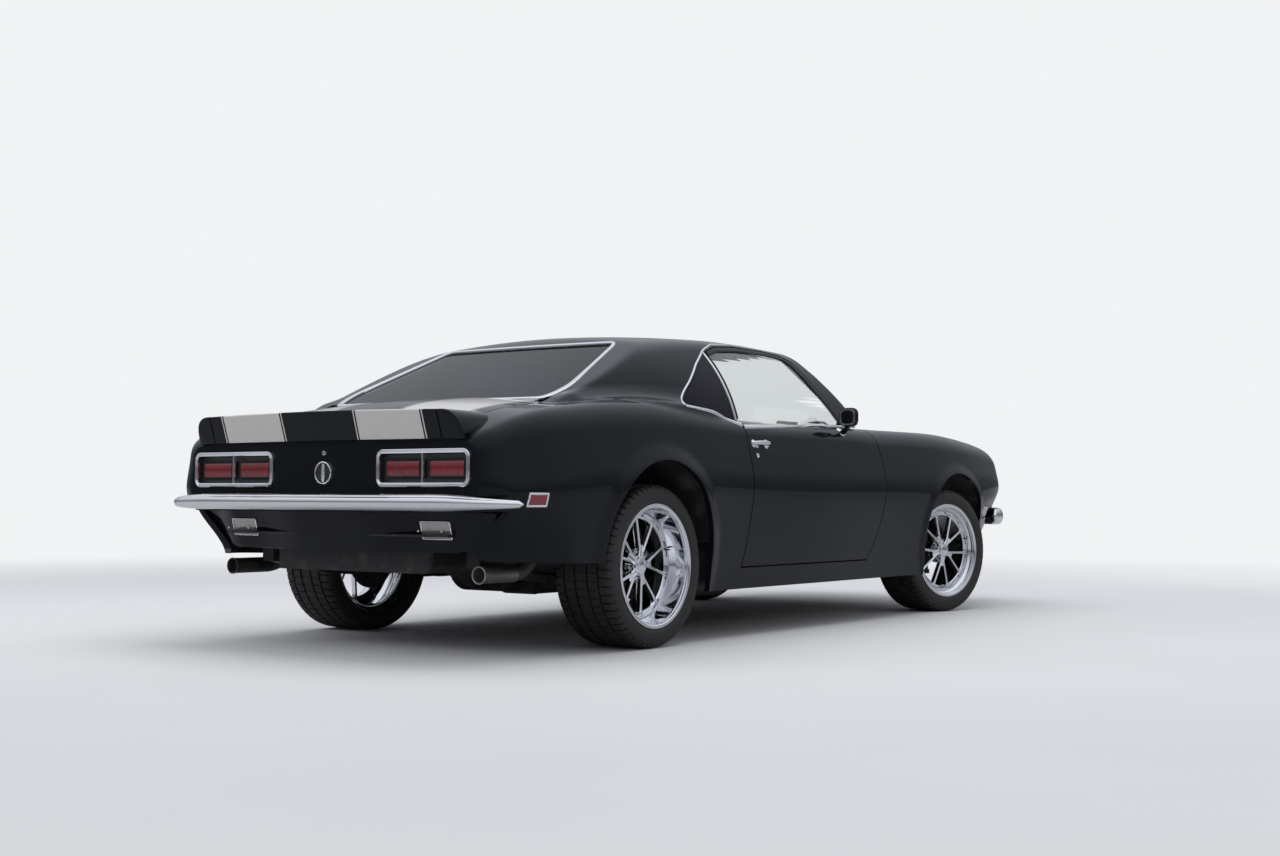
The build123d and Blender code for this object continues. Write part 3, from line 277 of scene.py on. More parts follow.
@dataclass(frozen=True)
class StripedPaint:
    """Gloss black paint that carries the two pale stripes where they run over a panel."""

    name: str = "gloss_black"
    black: tuple = (0.0055, 0.0062, 0.0085)
    silver: tuple = (0.66, 0.645, 0.61)
    striped: bool = False
    rear: bool = True
    line: float = 0.0055
    gap: float = 0.0075

    def make(self) -> Shade:
        """Builds the material."""
        shade = Shade(self.name)
        colour = shade.mix(shade.noise(3.0, 2.0), opaque(self.black), opaque(self.black, 1.5))
        shade.feed(Roughness=0.3, Specular_IOR_Level=0.0, Coat_Weight=1.0, Coat_Roughness=0.015, Coat_IOR=1.28)
        if self.striped:
            across, along = abs(shade.along("Y")), shade.along("X")
            # The stripes narrow a little towards the ends of the car
            inner = along * -0.037 + 0.114 if self.rear else 0.185
            outer = along * 0.012 + 0.539 if self.rear else 0.505
            wide = self.gap + self.line
            mask = ((across > inner) * (across < outer) + (across > (inner - wide)) * (across < (inner - self.gap))
                    + (across > (outer + self.gap)) * (across < (outer + wide)))
            pale = shade.mix(shade.noise(700.0, 1.0), opaque(self.silver), opaque(self.silver, 0.86))
            colour = shade.mix(mask, colour, pale)
            shade.feed(Metallic=mask * 0.35, Roughness=mask * 0.1 + 0.3)
        shade.feed(Base_Color=colour)
        shade.bump(shade.noise(160.0, 1.0), 0.00002, 0.5)
        return shade


@dataclass(frozen=True)
class Glazing:
    """Window glass with a tint."""

    name: str
    tint: tuple
    index: float = 1.45

    def make(self) -> Shade:
        """Builds the material."""
        shade = Shade(self.name)
        shade.feed(Base_Color=opaque(self.tint), Transmission_Weight=1.0, IOR=self.index,
                   Roughness=shade.noise(6.0, 3.0) * 0.02)
        return shade


FINISHES = {finish.name: finish for finish in (
    Finish("chrome", (0.86, 0.865, 0.88), 0.045, metallic=1.0, tone=0.02, grain_scale=40.0),
    Finish("wheel_chrome", (0.83, 0.84, 0.87), 0.06, metallic=1.0, tone=0.03, grain_scale=40.0),
    Finish("tyre", (0.016, 0.0155, 0.015), 0.6, grain_scale=150.0, grain_depth=0.00015, tone=0.25, wear=0.06),
    Finish("black_metal", (0.016, 0.016, 0.017), 0.55, grain_scale=90.0, grain_depth=0.0002, wear=0.35),
    Finish("black_plastic", (0.018, 0.018, 0.019), 0.42, grain_scale=260.0, grain_depth=0.00008),
    Finish("cast_iron", (0.10, 0.095, 0.09), 0.6, metallic=0.6, grain_scale=140.0, grain_depth=0.0004, wear=0.3),
    Finish("bare_steel", (0.42, 0.41, 0.40), 0.34, metallic=0.9, grain_scale=70.0, tone=0.2, wear=0.25),
    Finish("seat_vinyl", (0.020, 0.020, 0.022), 0.46, grain_scale=260.0, grain_depth=0.0003, tone=0.2),
    Finish("carpet", (0.018, 0.018, 0.019), 0.95, grain_scale=400.0, grain_depth=0.0015, tone=0.4),
    Finish("rubber", (0.012, 0.012, 0.012), 0.6, grain_scale=200.0, grain_depth=0.0001),
    Finish("red_lens", (0.17, 0.003, 0.008), 0.12, coat=1.0, tone=0.3, grain_scale=50.0),
    Finish("clear_lens", (0.42, 0.41, 0.39), 0.14, metallic=0.55, coat=1.0, tone=0.1),
    Finish("iron_bright", (0.55, 0.55, 0.56), 0.28, metallic=1.0, grain_scale=60.0),
    Finish("headliner", (0.03, 0.03, 0.031), 0.85, grain_scale=300.0, grain_depth=0.0004),
)}
PAINTS = {
    "paint": StripedPaint(),
    "paint_rear": StripedPaint("gloss_black_rear_stripes", striped=True),
    "paint_front": StripedPaint("gloss_black_front_stripes", striped=True, rear=False),
    "clear_glass": Glazing("clear_glass", (0.90, 0.92, 0.915)),
    "tinted_glass": Glazing("tinted_glass", (0.009, 0.009, 0.015), 1.2),
}


class Palette:
    """Makes each finish once."""

    def __init__(self) -> None:
        """Starts with no finish made."""
        self._made: dict[str, bpy.types.Material] = {}

    def __getitem__(self, name: str) -> bpy.types.Material:
        """The named finish's material."""
        if name not in self._made:
            recipe = PAINTS.get(name) or FINISHES[name]
            self._made[name] = recipe.make().material
        return self._made[name]


PALETTE = Palette()


# Mesh building

def stack(*columns: "Points | float") -> Points:
    """Joins columns, each an array or one number, into an array of points."""
    return np.stack(np.broadcast_arrays(*columns), -1)


def unit(vectors: Points) -> Points:
    """Vectors at length one."""
    return vectors / np.linalg.norm(vectors, axis=-1, keepdims=True)


def directions(path: Points, closed: bool) -> Points:
    """The tangents along a path, at any length."""
    return np.roll(path, -1, 0) - np.roll(path, 1, 0) if closed else np.gradient(path, axis=0)


def ring(segments: int, first: Sequence, second: Sequence, flat: float = 1.0) -> Points:
    """Points round a circle of radius one in the plane of two directions, the second one flattened."""
    angles = np.linspace(0, FULL_TURN, segments, endpoint=False)
    return np.outer(np.cos(angles), first) + flat * np.outer(np.sin(angles), second)


def oblong(a0: float, b0: float, a1: float, b1: float) -> list:
    """The four corners of a 2-D box."""
    return [(a0, b0), (a1, b0), (a1, b1), (a0, b1)]


class Mould:
    """Gathers the faces of one piece, in millimetres, with a finish for each face."""

    def __init__(self, *finishes: str) -> None:
        """Starts an empty piece with its finishes."""
        self.finishes = list(finishes)
        self.points: list[Points] = []
        self.faces: list[tuple] = []
        self.finish_of: list[int] = []
        self.count = 0

    def add(self, points: Points, faces: Iterable[Sequence[int]], finish: Optional[str] = None) -> None:
        """Adds loose geometry.

        Args:
            points: its vertices.
            faces: lists of indices into points.
            finish: its finish, or the piece's first.
        """
        finish = finish or self.finishes[0]
        if finish not in self.finishes:
            self.finishes.append(finish)
        points = np.asarray(points, float).reshape(-1, 3)
        self.points.append(points)
        for face in faces:
            self.faces.append(tuple(int(i) + self.count for i in face))
            self.finish_of.append(self.finishes.index(finish))
        self.count += len(points)

    def sheet(self, outline: Points, finish: Optional[str] = None) -> None:
        """Adds one face from its outline of 3-D points."""
        self.add(outline, [range(len(outline))], finish)

    def grid(self, points: Sequence, close_u: bool = False, close_v: bool = False, finish: Optional[str] = None,
             cap_u: bool = False) -> None:
        """Adds a sheet of quads from points of shape (u, v, 3), closed in either direction.

        Args:
            points: the sheet's points.
            close_u: joins the last row to the first.
            close_v: joins the last column to the first.
            finish: its finish.
            cap_u: closes the first and the last row with one face each.
        """
        points = np.array(points)
        rows, columns = points.shape[:2]
        faces = []
        for i in range(rows if close_u else rows - 1):
            for j in range(columns if close_v else columns - 1):
                a, b = i * columns + j, i * columns + (j + 1) % columns
                c, d = ((i + 1) % rows) * columns + (j + 1) % columns, ((i + 1) % rows) * columns + j
                faces.append((a, b, c, d))
        if cap_u:
            faces.append(tuple(range(columns))[::-1])
            faces.append(tuple((rows - 1) * columns + j for j in range(columns)))
        self.add(points, faces, finish)

    def loft(self, rows: Sequence, finish: Optional[str] = None) -> None:
        """Joins closed sections, one a row, and closes both ends."""
        self.grid(rows, close_v=True, cap_u=True, finish=finish)

    def lathe(self, profile: Sequence, centre: Sequence, axis: Sequence, segments: int = 96,
              finish: Optional[str] = None, closed: bool = False) -> None:
        """Turns a profile of (radius, along) points about an axis.

        Args:
            profile: the points, from one end to the other.
            centre: a point on the axis.
            axis: its direction.
            segments: how many steps go round.
            finish: its finish.
            closed: joins the profile's end to its start.
        """
        direction = Vector(axis).normalized()
        across = direction.orthogonal().normalized()
        round_ = ring(segments, across, direction.cross(across))
        rows = [np.array(centre) + round_ * radius + np.array(direction) * along for radius, along in profile]
        self.grid(rows, close_u=closed, close_v=True, finish=finish)

    def tube(self, path: Points, radius: "float | Points", segments: int = 16, finish: Optional[str] = None,
             closed: bool = False, flat: float = 1.0) -> None:
        """Sweeps a round or oval section along a path of points."""
        path = np.asarray(path, float)
        tangents = unit(directions(path, closed))
        normal = np.array(Vector(tangents[0]).orthogonal().normalized())
        rows = []
        for point, tangent, size in zip(path, tangents, np.broadcast_to(radius, len(path))):
            normal = normal - tangent * normal.dot(tangent)
            normal /= np.linalg.norm(normal)
            rows.append(point + size * ring(segments, normal, np.cross(tangent, normal), flat))
        self.grid(rows, close_u=closed, close_v=True, finish=finish, cap_u=not closed)

    def ribbon(self, path: Points, normals: Points, width: "float | Points", height: float,
               finish: Optional[str] = None, closed: bool = False, sink: float = 1.0) -> None:
        """Lays a crowned strip along a path on a surface.

        Args:
            path: points on the surface.
            normals: the surface's normals there.
            width: the strip's width.
            height: how far it stands proud.
            finish: its finish.
            closed: joins its ends.
            sink: how far its edges go into the surface.
        """
        across = unit(np.cross(normals, directions(path, closed)))
        half = np.broadcast_to(np.asarray(width, float) / 2, len(path))[:, None]
        rows = [path + across * half * share + normals * lift_ for share, lift_ in (
            (-1.0, -sink), (-1.0, 0.35 * height), (-0.72, 0.85 * height), (0.0, height), (0.72, 0.85 * height),
            (1.0, 0.35 * height), (1.0, -sink))]
        self.grid(np.array(rows).transpose(1, 0, 2), close_u=closed, close_v=True, finish=finish, cap_u=not closed)

    def prism(self, outline: Sequence, low: Sequence, high: Sequence, finish: Optional[str] = None) -> None:
        """Extrudes a closed outline of 3-D points from an offset low to an offset high."""
        self.loft([np.asarray(outline, float) + np.array(end, float) for end in (low, high)], finish)

    def block(self, low: Sequence, high: Sequence, finish: Optional[str] = None) -> None:
        """A box between two corners, for a small part of a larger piece."""
        (x0, y0, z0), (x1, y1, z1) = low, high
        self.prism([(x, y, z0) for x, y in oblong(x0, y0, x1, y1)], (0, 0, 0), (0, 0, z1 - z0), finish)

    def mesh(self, name: str) -> bpy.types.Mesh:
        """Makes the mesh, in metres."""
        mesh = bpy.data.meshes.new(name)
        mesh.from_pydata((np.concatenate(self.points) * MM).tolist(), [], self.faces)
        for finish in self.finishes:
            mesh.materials.append(PALETTE[finish])
        mesh.polygons.foreach_set("material_index", self.finish_of)
        mesh.validate()
        return mesh

    def piece(self, name: str, body: str, slot: str, *nodes: str, angle: float = 38.0) -> bpy.types.Object:
        """Makes the piece, welds it and attaches it to its body, as dress says."""
        mesh = self.mesh(name)
        turn_out(mesh, WELD)
        return dress(name, mesh, body, slot, *nodes, angle=angle)


def add_object(name: str, data: bpy.types.ID) -> bpy.types.Object:
    """Adds an object to the scene."""
    made = bpy.data.objects.new(name, data)
    bpy.context.scene.collection.objects.link(made)
    return made


def dress(name: str, mesh: bpy.types.Mesh, body: str, slot: str, *nodes: str, angle: float = 38.0,
          smooth: bool = True) -> bpy.types.Object:
    """Makes a mesh a piece that rides on a body.

    Args:
        name: the piece's name.
        mesh: its mesh, in metres.
        body: the CAD body that it rides on.
        slot: not used.
        nodes: the CAD nodes that it stands for.
        angle: edges sharper than this stay sharp.
        smooth: shades it smooth.

    Returns:
        The piece.
    """
    piece = add_object(name, mesh)
    if smooth:
        mesh.shade_smooth()
        mesh.set_sharp_from_angle(angle=math.radians(angle))
    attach(piece, body)
    if nodes:
        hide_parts(*nodes)
    log.info("%s: %d faces", name, len(mesh.polygons))
    return piece


def turn_out(mesh: bpy.types.Mesh, weld: float = 0.0) -> None:
    """Points a closed mesh's faces outwards, after welding what lies nearer than weld."""
    work = bmesh.new()
    work.from_mesh(mesh)
    if weld:
        bmesh.ops.remove_doubles(work, verts=work.verts, dist=weld)
    bmesh.ops.recalc_face_normals(work, faces=work.faces)
    work.to_mesh(mesh)
    work.free()


def cut(target: bpy.types.Object, cutter_: Mould, operation: str) -> None:
    """Cuts a closed mesh with a closed cutter.

    Args:
        target: what is cut.
        cutter_: what cuts it.
        operation: INTERSECT keeps what lies inside the cutter, DIFFERENCE what lies outside.
    """
    tool = add_object("cutter", cutter_.mesh("cutter"))
    turn_out(tool.data)
    modifier = target.modifiers.new("cut", "BOOLEAN")
    modifier.operation = operation
    modifier.solver = "MANIFOLD"
    modifier.object = tool
    bpy.context.view_layer.update()
    graph = bpy.context.evaluated_depsgraph_get()
    made = bpy.data.meshes.new_from_object(target.evaluated_get(graph))
    target.modifiers.clear()
    target.data = made
    bpy.data.objects.remove(tool)


def carve(name: str, shell: Mould, keep: Sequence[Mould], drop: Sequence[Mould], *finishes: str) -> bpy.types.Mesh:
    """Cuts a mesh out of a shell.

    Args:
        name: its name.
        shell: what it is cut from.
        keep: cutters that it must lie inside.
        drop: cutters that are taken away.
        finishes: its materials.

    Returns:
        The mesh, with every face in the first finish.
    """
    shell.finishes = list(finishes[:1])
    block = add_object(name + "_raw", shell.mesh(name))
    turn_out(block.data)
    for operation, cutters in (("INTERSECT", keep), ("DIFFERENCE", drop)):
        for cutter_ in cutters:
            cut(block, cutter_, operation)
    mesh = block.data
    bpy.data.objects.remove(block)
    mesh.materials.clear()
    for finish in finishes:
        mesh.materials.append(PALETTE[finish])
    return mesh


def read_all(items: bpy.types.bpy_prop_collection, key: str, width: int = 1, kind: type = float) -> Points:
    """Reads one property of all of a mesh's items, width numbers each."""
    values = np.zeros(len(items) * width, kind)
    items.foreach_get(key, values)
    return values.reshape(-1, width) if width > 1 else values


# Outlines

def on_circle(centre: Sequence, radius: float, angles: Points) -> Points:
    """Points of a 2-D circle at some angles."""
    return np.asarray(centre) + radius * stack(np.cos(angles), np.sin(angles))


def spline(knots: Points, values: Points, at: Points) -> Points:
    """A natural cubic spline through rows of values.

    Args:
        knots: where the rows lie, rising.
        values: one row a knot.
        at: where to read it.

    Returns:
        One row for each place in at.
    """
    knots, values = np.asarray(knots, float), np.asarray(values, float)
    gaps = np.diff(knots)
    count = len(knots)
    matrix = np.eye(count)
    right = np.zeros_like(values)
    for i in range(1, count - 1):
        matrix[i, i - 1:i + 2] = gaps[i - 1], 2 * (gaps[i - 1] + gaps[i]), gaps[i]
        right[i] = 6 * ((values[i + 1] - values[i]) / gaps[i] - (values[i] - values[i - 1]) / gaps[i - 1])
    bend = np.linalg.solve(matrix, right)
    at = np.clip(np.asarray(at, float), knots[0], knots[-1])
    index = np.clip(np.searchsorted(knots, at, side="right") - 1, 0, count - 2)
    gap = gaps[index][:, None]
    low, high = (knots[index + 1] - at)[:, None], (at - knots[index])[:, None]
    return (bend[index] * low ** 3 / (6 * gap) + bend[index + 1] * high ** 3 / (6 * gap)
            + (values[index] / gap - bend[index] * gap / 6) * low
            + (values[index + 1] / gap - bend[index + 1] * gap / 6) * high)


def rounded(corners: Sequence, radius: "float | Sequence", steps: int = 8) -> Points:
    """A closed outline of 2-D corners with each corner rounded."""
    corners = np.asarray(corners, float)
    radii = np.broadcast_to(radius, len(corners))
    made = []
    for i, corner in enumerate(corners):
        back = corners[i - 1] - corner
        ahead = corners[(i + 1) % len(corners)] - corner
        back_length, ahead_length = np.linalg.norm(back), np.linalg.norm(ahead)
        back, ahead = back / back_length, ahead / ahead_length
        half = math.acos(float(np.clip(back.dot(ahead), -0.9999, 0.9999))) / 2
        reach = min(radii[i] / math.tan(half), 0.49 * back_length, 0.49 * ahead_length)
        if radii[i] <= 0 or reach < 0.01:
            made.append(corner[None])
            continue
        size = reach * math.tan(half)
        middle = corner + (back + ahead) / np.linalg.norm(back + ahead) * size / math.sin(half)
        start, end = corner + back * reach - middle, corner + ahead * reach - middle
        first = math.atan2(start[1], start[0])
        turn = (math.atan2(end[1], end[0]) - first + math.pi) % (2 * math.pi) - math.pi
        angles = first + turn * np.linspace(0, 1, steps + 1)
        made.append(middle + size * np.stack([np.cos(angles), np.sin(angles)], 1))
    return np.concatenate(made)


def lift(outline: Points, plane: str, at: float) -> Points:
    """Puts a 2-D outline into space: in plane xz, xy or yz, at a place on the third axis."""
    a, b = np.asarray(outline, float).T
    return stack(*{"xz": (a, at, b), "xy": (a, b, at), "yz": (at, a, b)}[plane])


def cutter(outline: Points, plane: str = "xz", low: float = -1100, high: float = 1100) -> Mould:
    """A closed prism from an outline in a plane, between two places on the third axis."""
    made = Mould("rubber")
    made.loft([lift(outline, plane, end) for end in (low, high)])
    return made


def top_cutter(outline: Points) -> Mould:
    """A closed prism through the car's top from an (x, y) outline."""
    return cutter(outline, "xy", 600, 1200)


def box_cutter(x0: float, x1: float, half: float, z0: float = 600, z1: float = 1200) -> Mould:
    """A closed box across the car."""
    made = Mould("rubber")
    made.block((x0, -half, z0), (x1, half, z1))
    return made


def both_sides(outline: Sequence) -> Points:
    """An outline of (a, y) points on the left, completed on the right."""
    left = np.array(outline, float)
    return np.concatenate([left, left[::-1] * [1, -1]])


# The car's skin

BODY_ROWS = np.array([
    # x, crown_z, edge_y, edge_z, shoulder_y, shoulder_z, shoulder_r, belly_y, belly_z, belly_r, sill_y
    (-2255, 812, 590, 800, 775, 792, 60, 818, 600, 120, 775),
    (-2100, 892, 590, 868, 822, 858, 85, 868, 600, 200, 815),
    (-1800, 962, 600, 930, 856, 918, 110, 910, 630, 300, 855),
    (-1333, 992, 660, 962, 872, 960, 120, 926, 650, 400, 872),
    (-680, 958, 700, 938, 856, 904, 80, 900, 645, 400, 866),
    (0, 948, 700, 930, 852, 902, 70, 900, 640, 400, 866),
    (821, 952, 680, 922, 852, 926, 110, 904, 640, 400, 866),
    (1413, 925, 640, 904, 852, 938, 130, 919, 640, 400, 868),
    (1950, 872, 610, 858, 822, 896, 105, 884, 645, 260, 725),
    (2190, 800, 580, 792, 765, 822, 80, 812, 650, 110, 600),
    (2290, 742, 560, 738, 705, 730, 45, 756, 655, 60, 560),
], float)
ROOF_ROWS = np.array([
    # x, foot_y, waist_y, waist_z, rail_y, rail_z, crown_z
    (-1720, 640, 560, 1050, 460, 1110, 1130),
    (-1400, 735, 650, 1070, 530, 1160, 1190),
    (-1050, 800, 722, 1095, 590, 1222, 1262),
    (-700, 812, 748, 1100, 628, 1258, 1297),
    (-300, 814, 750, 1100, 630, 1270, 1304),
    (120, 814, 748, 1100, 616, 1266, 1292),
    (700, 812, 742, 1100, 590, 1262, 1284),
], float)
ROOF_FOOT_Z = 890.0
HUB_Z = 450.0


@dataclass(frozen=True)
class Pane:
    """A sloped and bowed glass plane: where it stands, how it leans and how far it bows."""

    base_x: float
    base_z: float
    top_x: float
    top_z: float
    bow: float

    @property
    def slope(self) -> float:
        """How far it runs along X for each millimetre of height."""
        return (self.top_x - self.base_x) / (self.top_z - self.base_z)

    @property
    def hand(self) -> int:
        """1 for the back glass, -1 for the windshield."""
        return 1 if self.slope > 0 else -1

    @property
    def radius(self) -> float:
        """The radius of its bow."""
        return (800.0 ** 2 + self.bow ** 2) / (2 * self.bow)

    def sag(self, y: Points) -> Points:
        """How far the plane falls back at y, by its bow."""
        return (self.radius - np.sqrt(self.radius ** 2 - np.minimum(np.abs(y), 820.0) ** 2)) * self.hand

    def x_at(self, y: Points, z: Points) -> Points:
        """The plane's x at a height."""
        return self.base_x + self.slope * (np.asarray(z) - self.base_z) + self.sag(y)

    def z_at(self, x: float, y: Points, inset: float = 0.0) -> Points:
        """The plane's height over a point, drawn in by inset."""
        inward = math.hypot(1, self.slope) * inset * self.hand
        return self.base_z + (x - self.base_x - self.sag(y) - inward) / self.slope

    def normals(self, y: Points) -> Points:
        """The outward normals at y."""
        lean = y / np.sqrt(self.radius ** 2 - y ** 2) * self.hand
        return unit(stack(-self.hand, self.hand * lean, self.hand * self.slope))


WINDSHIELD = Pane(560, 945, 128, 1290, 85)
BACK_GLASS = Pane(-1668, 968, -985, 1268, 70)


def soft_max(a: Points, b: Points, reach: "float | Points") -> Points:
    """The larger of two fields, filleted where they meet."""
    near = np.maximum(reach - np.abs(a - b), 0)
    return np.maximum(a, b) + near ** 2 / (4 * reach)


def soft_min(a: Points, b: Points, reach: "float | Points") -> Points:
    """The smaller of two fields, rounded where they meet."""
    return -soft_max(-a, -b, reach)


def smooth(value: Points, low: float, high: float) -> Points:
    """0 below low, 1 above high, and smooth between."""
    share = np.clip((np.asarray(value, float) - low) / (high - low), 0, 1)
    return share * share * (3 - 2 * share)


def circle_of(*points: Sequence) -> tuple[Points, float]:
    """The centre and the radius of the circle through three 2-D points."""
    a, b, c = np.array(points, float)
    matrix = 2 * np.array([b - a, c - a])
    centre = np.linalg.solve(matrix, np.array([b.dot(b) - a.dot(a), c.dot(c) - a.dot(a)]))
    return centre, float(np.linalg.norm(a - centre))


def reach_of_circle(angles: Points, centre: Points, radius: float) -> Points:
    """How far a ray from the hub line goes at each angle before it leaves a circle."""
    offset = centre - np.array([0, HUB_Z])
    along = np.cos(angles) * offset[0] + np.sin(angles) * offset[1]
    return along + np.sqrt(np.maximum(along ** 2 - offset.dot(offset) + radius ** 2, 1.0))


class Skin:
    """The car's outer surface as a distance from a line along the car, by x and angle.

    The angle is 0 out to the left, 90 degrees straight up and 180 out to the right.
    """

    STEP_X = 5.0
    STEP_ANGLE = math.radians(0.25)
    LOW = math.radians(-36)

    def __init__(self, with_body: bool, with_roof: bool, inset: float = 0.0) -> None:
        """Works the surface out on a fine grid.

        Args:
            with_body: takes in the lower body.
            with_roof: takes in the roof, pillars and glass.
            inset: draws the roof in by this much.
        """
        self.inset = inset
        self.xs = np.arange(TAIL_X, NOSE_X + 1, self.STEP_X)
        self.angles = np.arange(self.LOW, math.pi / 2 + self.STEP_ANGLE, self.STEP_ANGLE)
        self.reach = np.full((len(self.xs), len(self.angles)), 1.0)
        body = self._body() if with_body else self.reach
        roof = self._roof() if with_roof else self.reach
        along = smooth(-self.xs, 660, 900) * (1 - smooth(-self.xs, 1600, 1740))
        round_ = 1 - smooth(self.angles, math.radians(37), math.radians(46))
        blend = 10 + 125 * along[:, None] * round_[None]
        height = HUB_Z + roof * np.sin(self.angles)
        if with_body:
            roof = roof - np.maximum(0, 925 - height) * 1.6
        self.reach = soft_max(body, roof, blend) if with_body and with_roof else np.maximum(body, roof)
        self._normals()

    def _body(self) -> Points:
        """The lower body's reach."""
        rows = spline(BODY_ROWS[:, 0], BODY_ROWS[:, 1:], self.xs)
        made = []
        for crown_z, edge_y, edge_z, top_y, top_z, top_r, belly_y, belly_z, belly_r, sill_y in rows:
            corners = np.array([(sill_y, SILL_Z - 90), (sill_y, SILL_Z), (belly_y, belly_z), (top_y, top_z),
                                (edge_y, edge_z), (0, edge_z)])
            outline = rounded(corners, [0, 0, max(20, belly_r), max(20, top_r), 0, 0], 14)[:-1]
            run = np.linspace(0, 1, 40)[:, None]
            dense = np.concatenate([a + (b - a) * run for a, b in zip(outline[:-1], outline[1:])])
            centre, radius = circle_of(np.array([edge_y, edge_z]), np.array([0, crown_z]), np.array([-edge_y, edge_z]))
            across = np.linspace(edge_y, 0, 60)[1:]
            rise = np.sqrt(radius ** 2 - across ** 2) * (1 if centre[1] < crown_z else -1) + centre[1]
            dense = np.concatenate([dense, np.stack([across, rise], 1)])
            angle = np.arctan2(dense[:, 1] - HUB_Z, dense[:, 0])
            far = np.hypot(dense[:, 1] - HUB_Z, dense[:, 0])
            order = np.argsort(angle, kind="stable")
            made.append(np.interp(self.angles, angle[order], far[order]))
        reach = np.array(made)
        x, angle = self.xs[:, None], self.angles[None]
        height = HUB_Z + reach * np.sin(angle)
        for axle_x, arch_z, arch_r, lip, width in ((*FRONT_ARCH, 7, 60), (*REAR_ARCH, 9, 75)):
            away = np.hypot(x - axle_x, height - arch_z) - arch_r
            flare = lip * (1 - smooth(away, -5, width)) * (height < 840) * (height > 150)
            reach = reach + flare / np.cos(angle)
        tail, nose = x - TAIL_X, NOSE_X - x
        low_corner = 1 - smooth(angle, math.radians(-2), math.radians(14))
        for gap, radius, top_share in ((tail, 62.0 + 110 * low_corner, 0.25), (nose, 34.0, 0.9)):
            gap = np.clip(gap, 0, radius)
            drop = radius - np.sqrt(np.maximum(radius ** 2 - (radius - gap) ** 2, 0))
            share = 1 - (1 - top_share) * smooth(angle, math.radians(18), math.radians(34))
            reach = reach - drop * share
        under = smooth(-x, 1850, -TAIL_X) * (1 - smooth(angle, math.radians(-9), math.radians(10)))
        return reach - 175 * under

    def _roof(self) -> Points:
        """The roof's reach, with the glass planes at both ends."""
        rows = spline(ROOF_ROWS[:, 0], ROOF_ROWS[:, 1:], self.xs)
        made = []
        angles = self.angles
        for x, (foot_y, waist_y, waist_z, rail_y, rail_z, crown_z) in zip(self.xs, rows):
            if not -1760 < x < 700:
                made.append(np.full(len(angles), 1.0))
                continue
            inset = self.inset
            side, side_r = circle_of(np.array([foot_y - inset, ROOF_FOOT_Z]), np.array([waist_y - inset, waist_z]),
                                     np.array([rail_y - inset, rail_z - 0.6 * inset]))
            crown, crown_r = circle_of(np.array([rail_y, rail_z - inset]), np.array([0, crown_z - inset]),
                                       np.array([-rail_y, rail_z - inset]))
            # Past the rail only the crown counts
            flank = reach_of_circle(angles, side, side_r) + 900 * smooth(angles, math.radians(58), math.radians(74))
            reach = soft_min(flank, reach_of_circle(angles, crown, crown_r), 46)
            for pane in (WINDSHIELD, BACK_GLASS):
                level = np.minimum(reach, 900)
                for _ in range(8):
                    high = pane.z_at(x, level * np.cos(angles), inset) - HUB_Z
                    level = np.clip(high / np.maximum(np.sin(angles), 0.02), 1, 3000)
                reach = soft_min(reach, level, 14)
            made.append(np.maximum(reach, 1))
        return np.array(made)

    def _normals(self) -> None:
        """The outward normals on the grid."""
        none = np.zeros_like(self.reach)
        cos, sin = np.cos(self.angles) + none, np.sin(self.angles) + none
        out, round_ = stack(none, cos, sin), stack(none, -sin, cos)
        by_x = np.gradient(self.reach, self.xs, axis=0)[..., None] * out
        by_x[..., 0] = 1
        by_angle = np.gradient(self.reach, self.angles, axis=1)[..., None] * out + self.reach[..., None] * round_
        normals = unit(np.cross(by_angle, by_x))
        self.normals = normals * np.sign((normals * out).sum(-1, keepdims=True) + 1e-9)

    def _read(self, field_: Points, x: Points, angle: Points) -> Points:
        """Reads a field between the grid's points."""
        u = np.clip((x - self.xs[0]) / self.STEP_X, 0, len(self.xs) - 1.001)
        v = np.clip((angle - self.angles[0]) / self.STEP_ANGLE, 0, len(self.angles) - 1.001)
        i, j = u.astype(int), v.astype(int)
        a, b = u - i, v - j
        if field_.ndim == 3:
            a, b = a[..., None], b[..., None]
        return ((1 - a) * ((1 - b) * field_[i, j] + b * field_[i, j + 1])
                + a * ((1 - b) * field_[i + 1, j] + b * field_[i + 1, j + 1]))

    def at(self, x: Points, angle: Points) -> tuple[Points, Points]:
        """The surface's points and normals.

        Args:
            x: places along the car.
            angle: angles about the hub line, from -36 to 216 degrees or as arctan2 gives them.

        Returns:
            The points and their outward normals.
        """
        x, angle = np.broadcast_arrays(np.asarray(x, float), np.asarray(angle, float))
        angle = np.where(angle < -math.pi / 2, angle + FULL_TURN, angle)
        right = angle > math.pi / 2
        folded = np.where(right, math.pi - angle, angle)
        far = self._read(self.reach, x, folded)
        sign = np.where(right, -1.0, 1.0)
        points = stack(x, far * np.cos(folded) * sign, HUB_Z + far * np.sin(folded))
        return points, unit(self._read(self.normals, x, folded) * stack(1.0, sign, 1.0))

    def _seek(self, x: Points, low: float, short: Callable[[Points, Points], Points]) -> tuple[Points, Points]:
        """The points and normals where a test of (reach, angle) turns false, from the angle low upwards."""
        low, high = np.full(x.shape, low), np.full(x.shape, math.pi / 2)
        for _ in range(40):
            middle = (low + high) / 2
            under = short(self._read(self.reach, x, middle), middle)
            low, high = np.where(under, middle, low), np.where(under, high, middle)
        return self.at(x, low)

    def on_side(self, x: Points, z: Points) -> tuple[Points, Points]:
        """The left side's points and normals at given x and z, below the shoulder or on the roof's side."""
        x, z = np.broadcast_arrays(np.asarray(x, float), np.asarray(z, float))
        return self._seek(x, self.LOW, lambda far, angle: HUB_Z + far * np.sin(angle) < z)

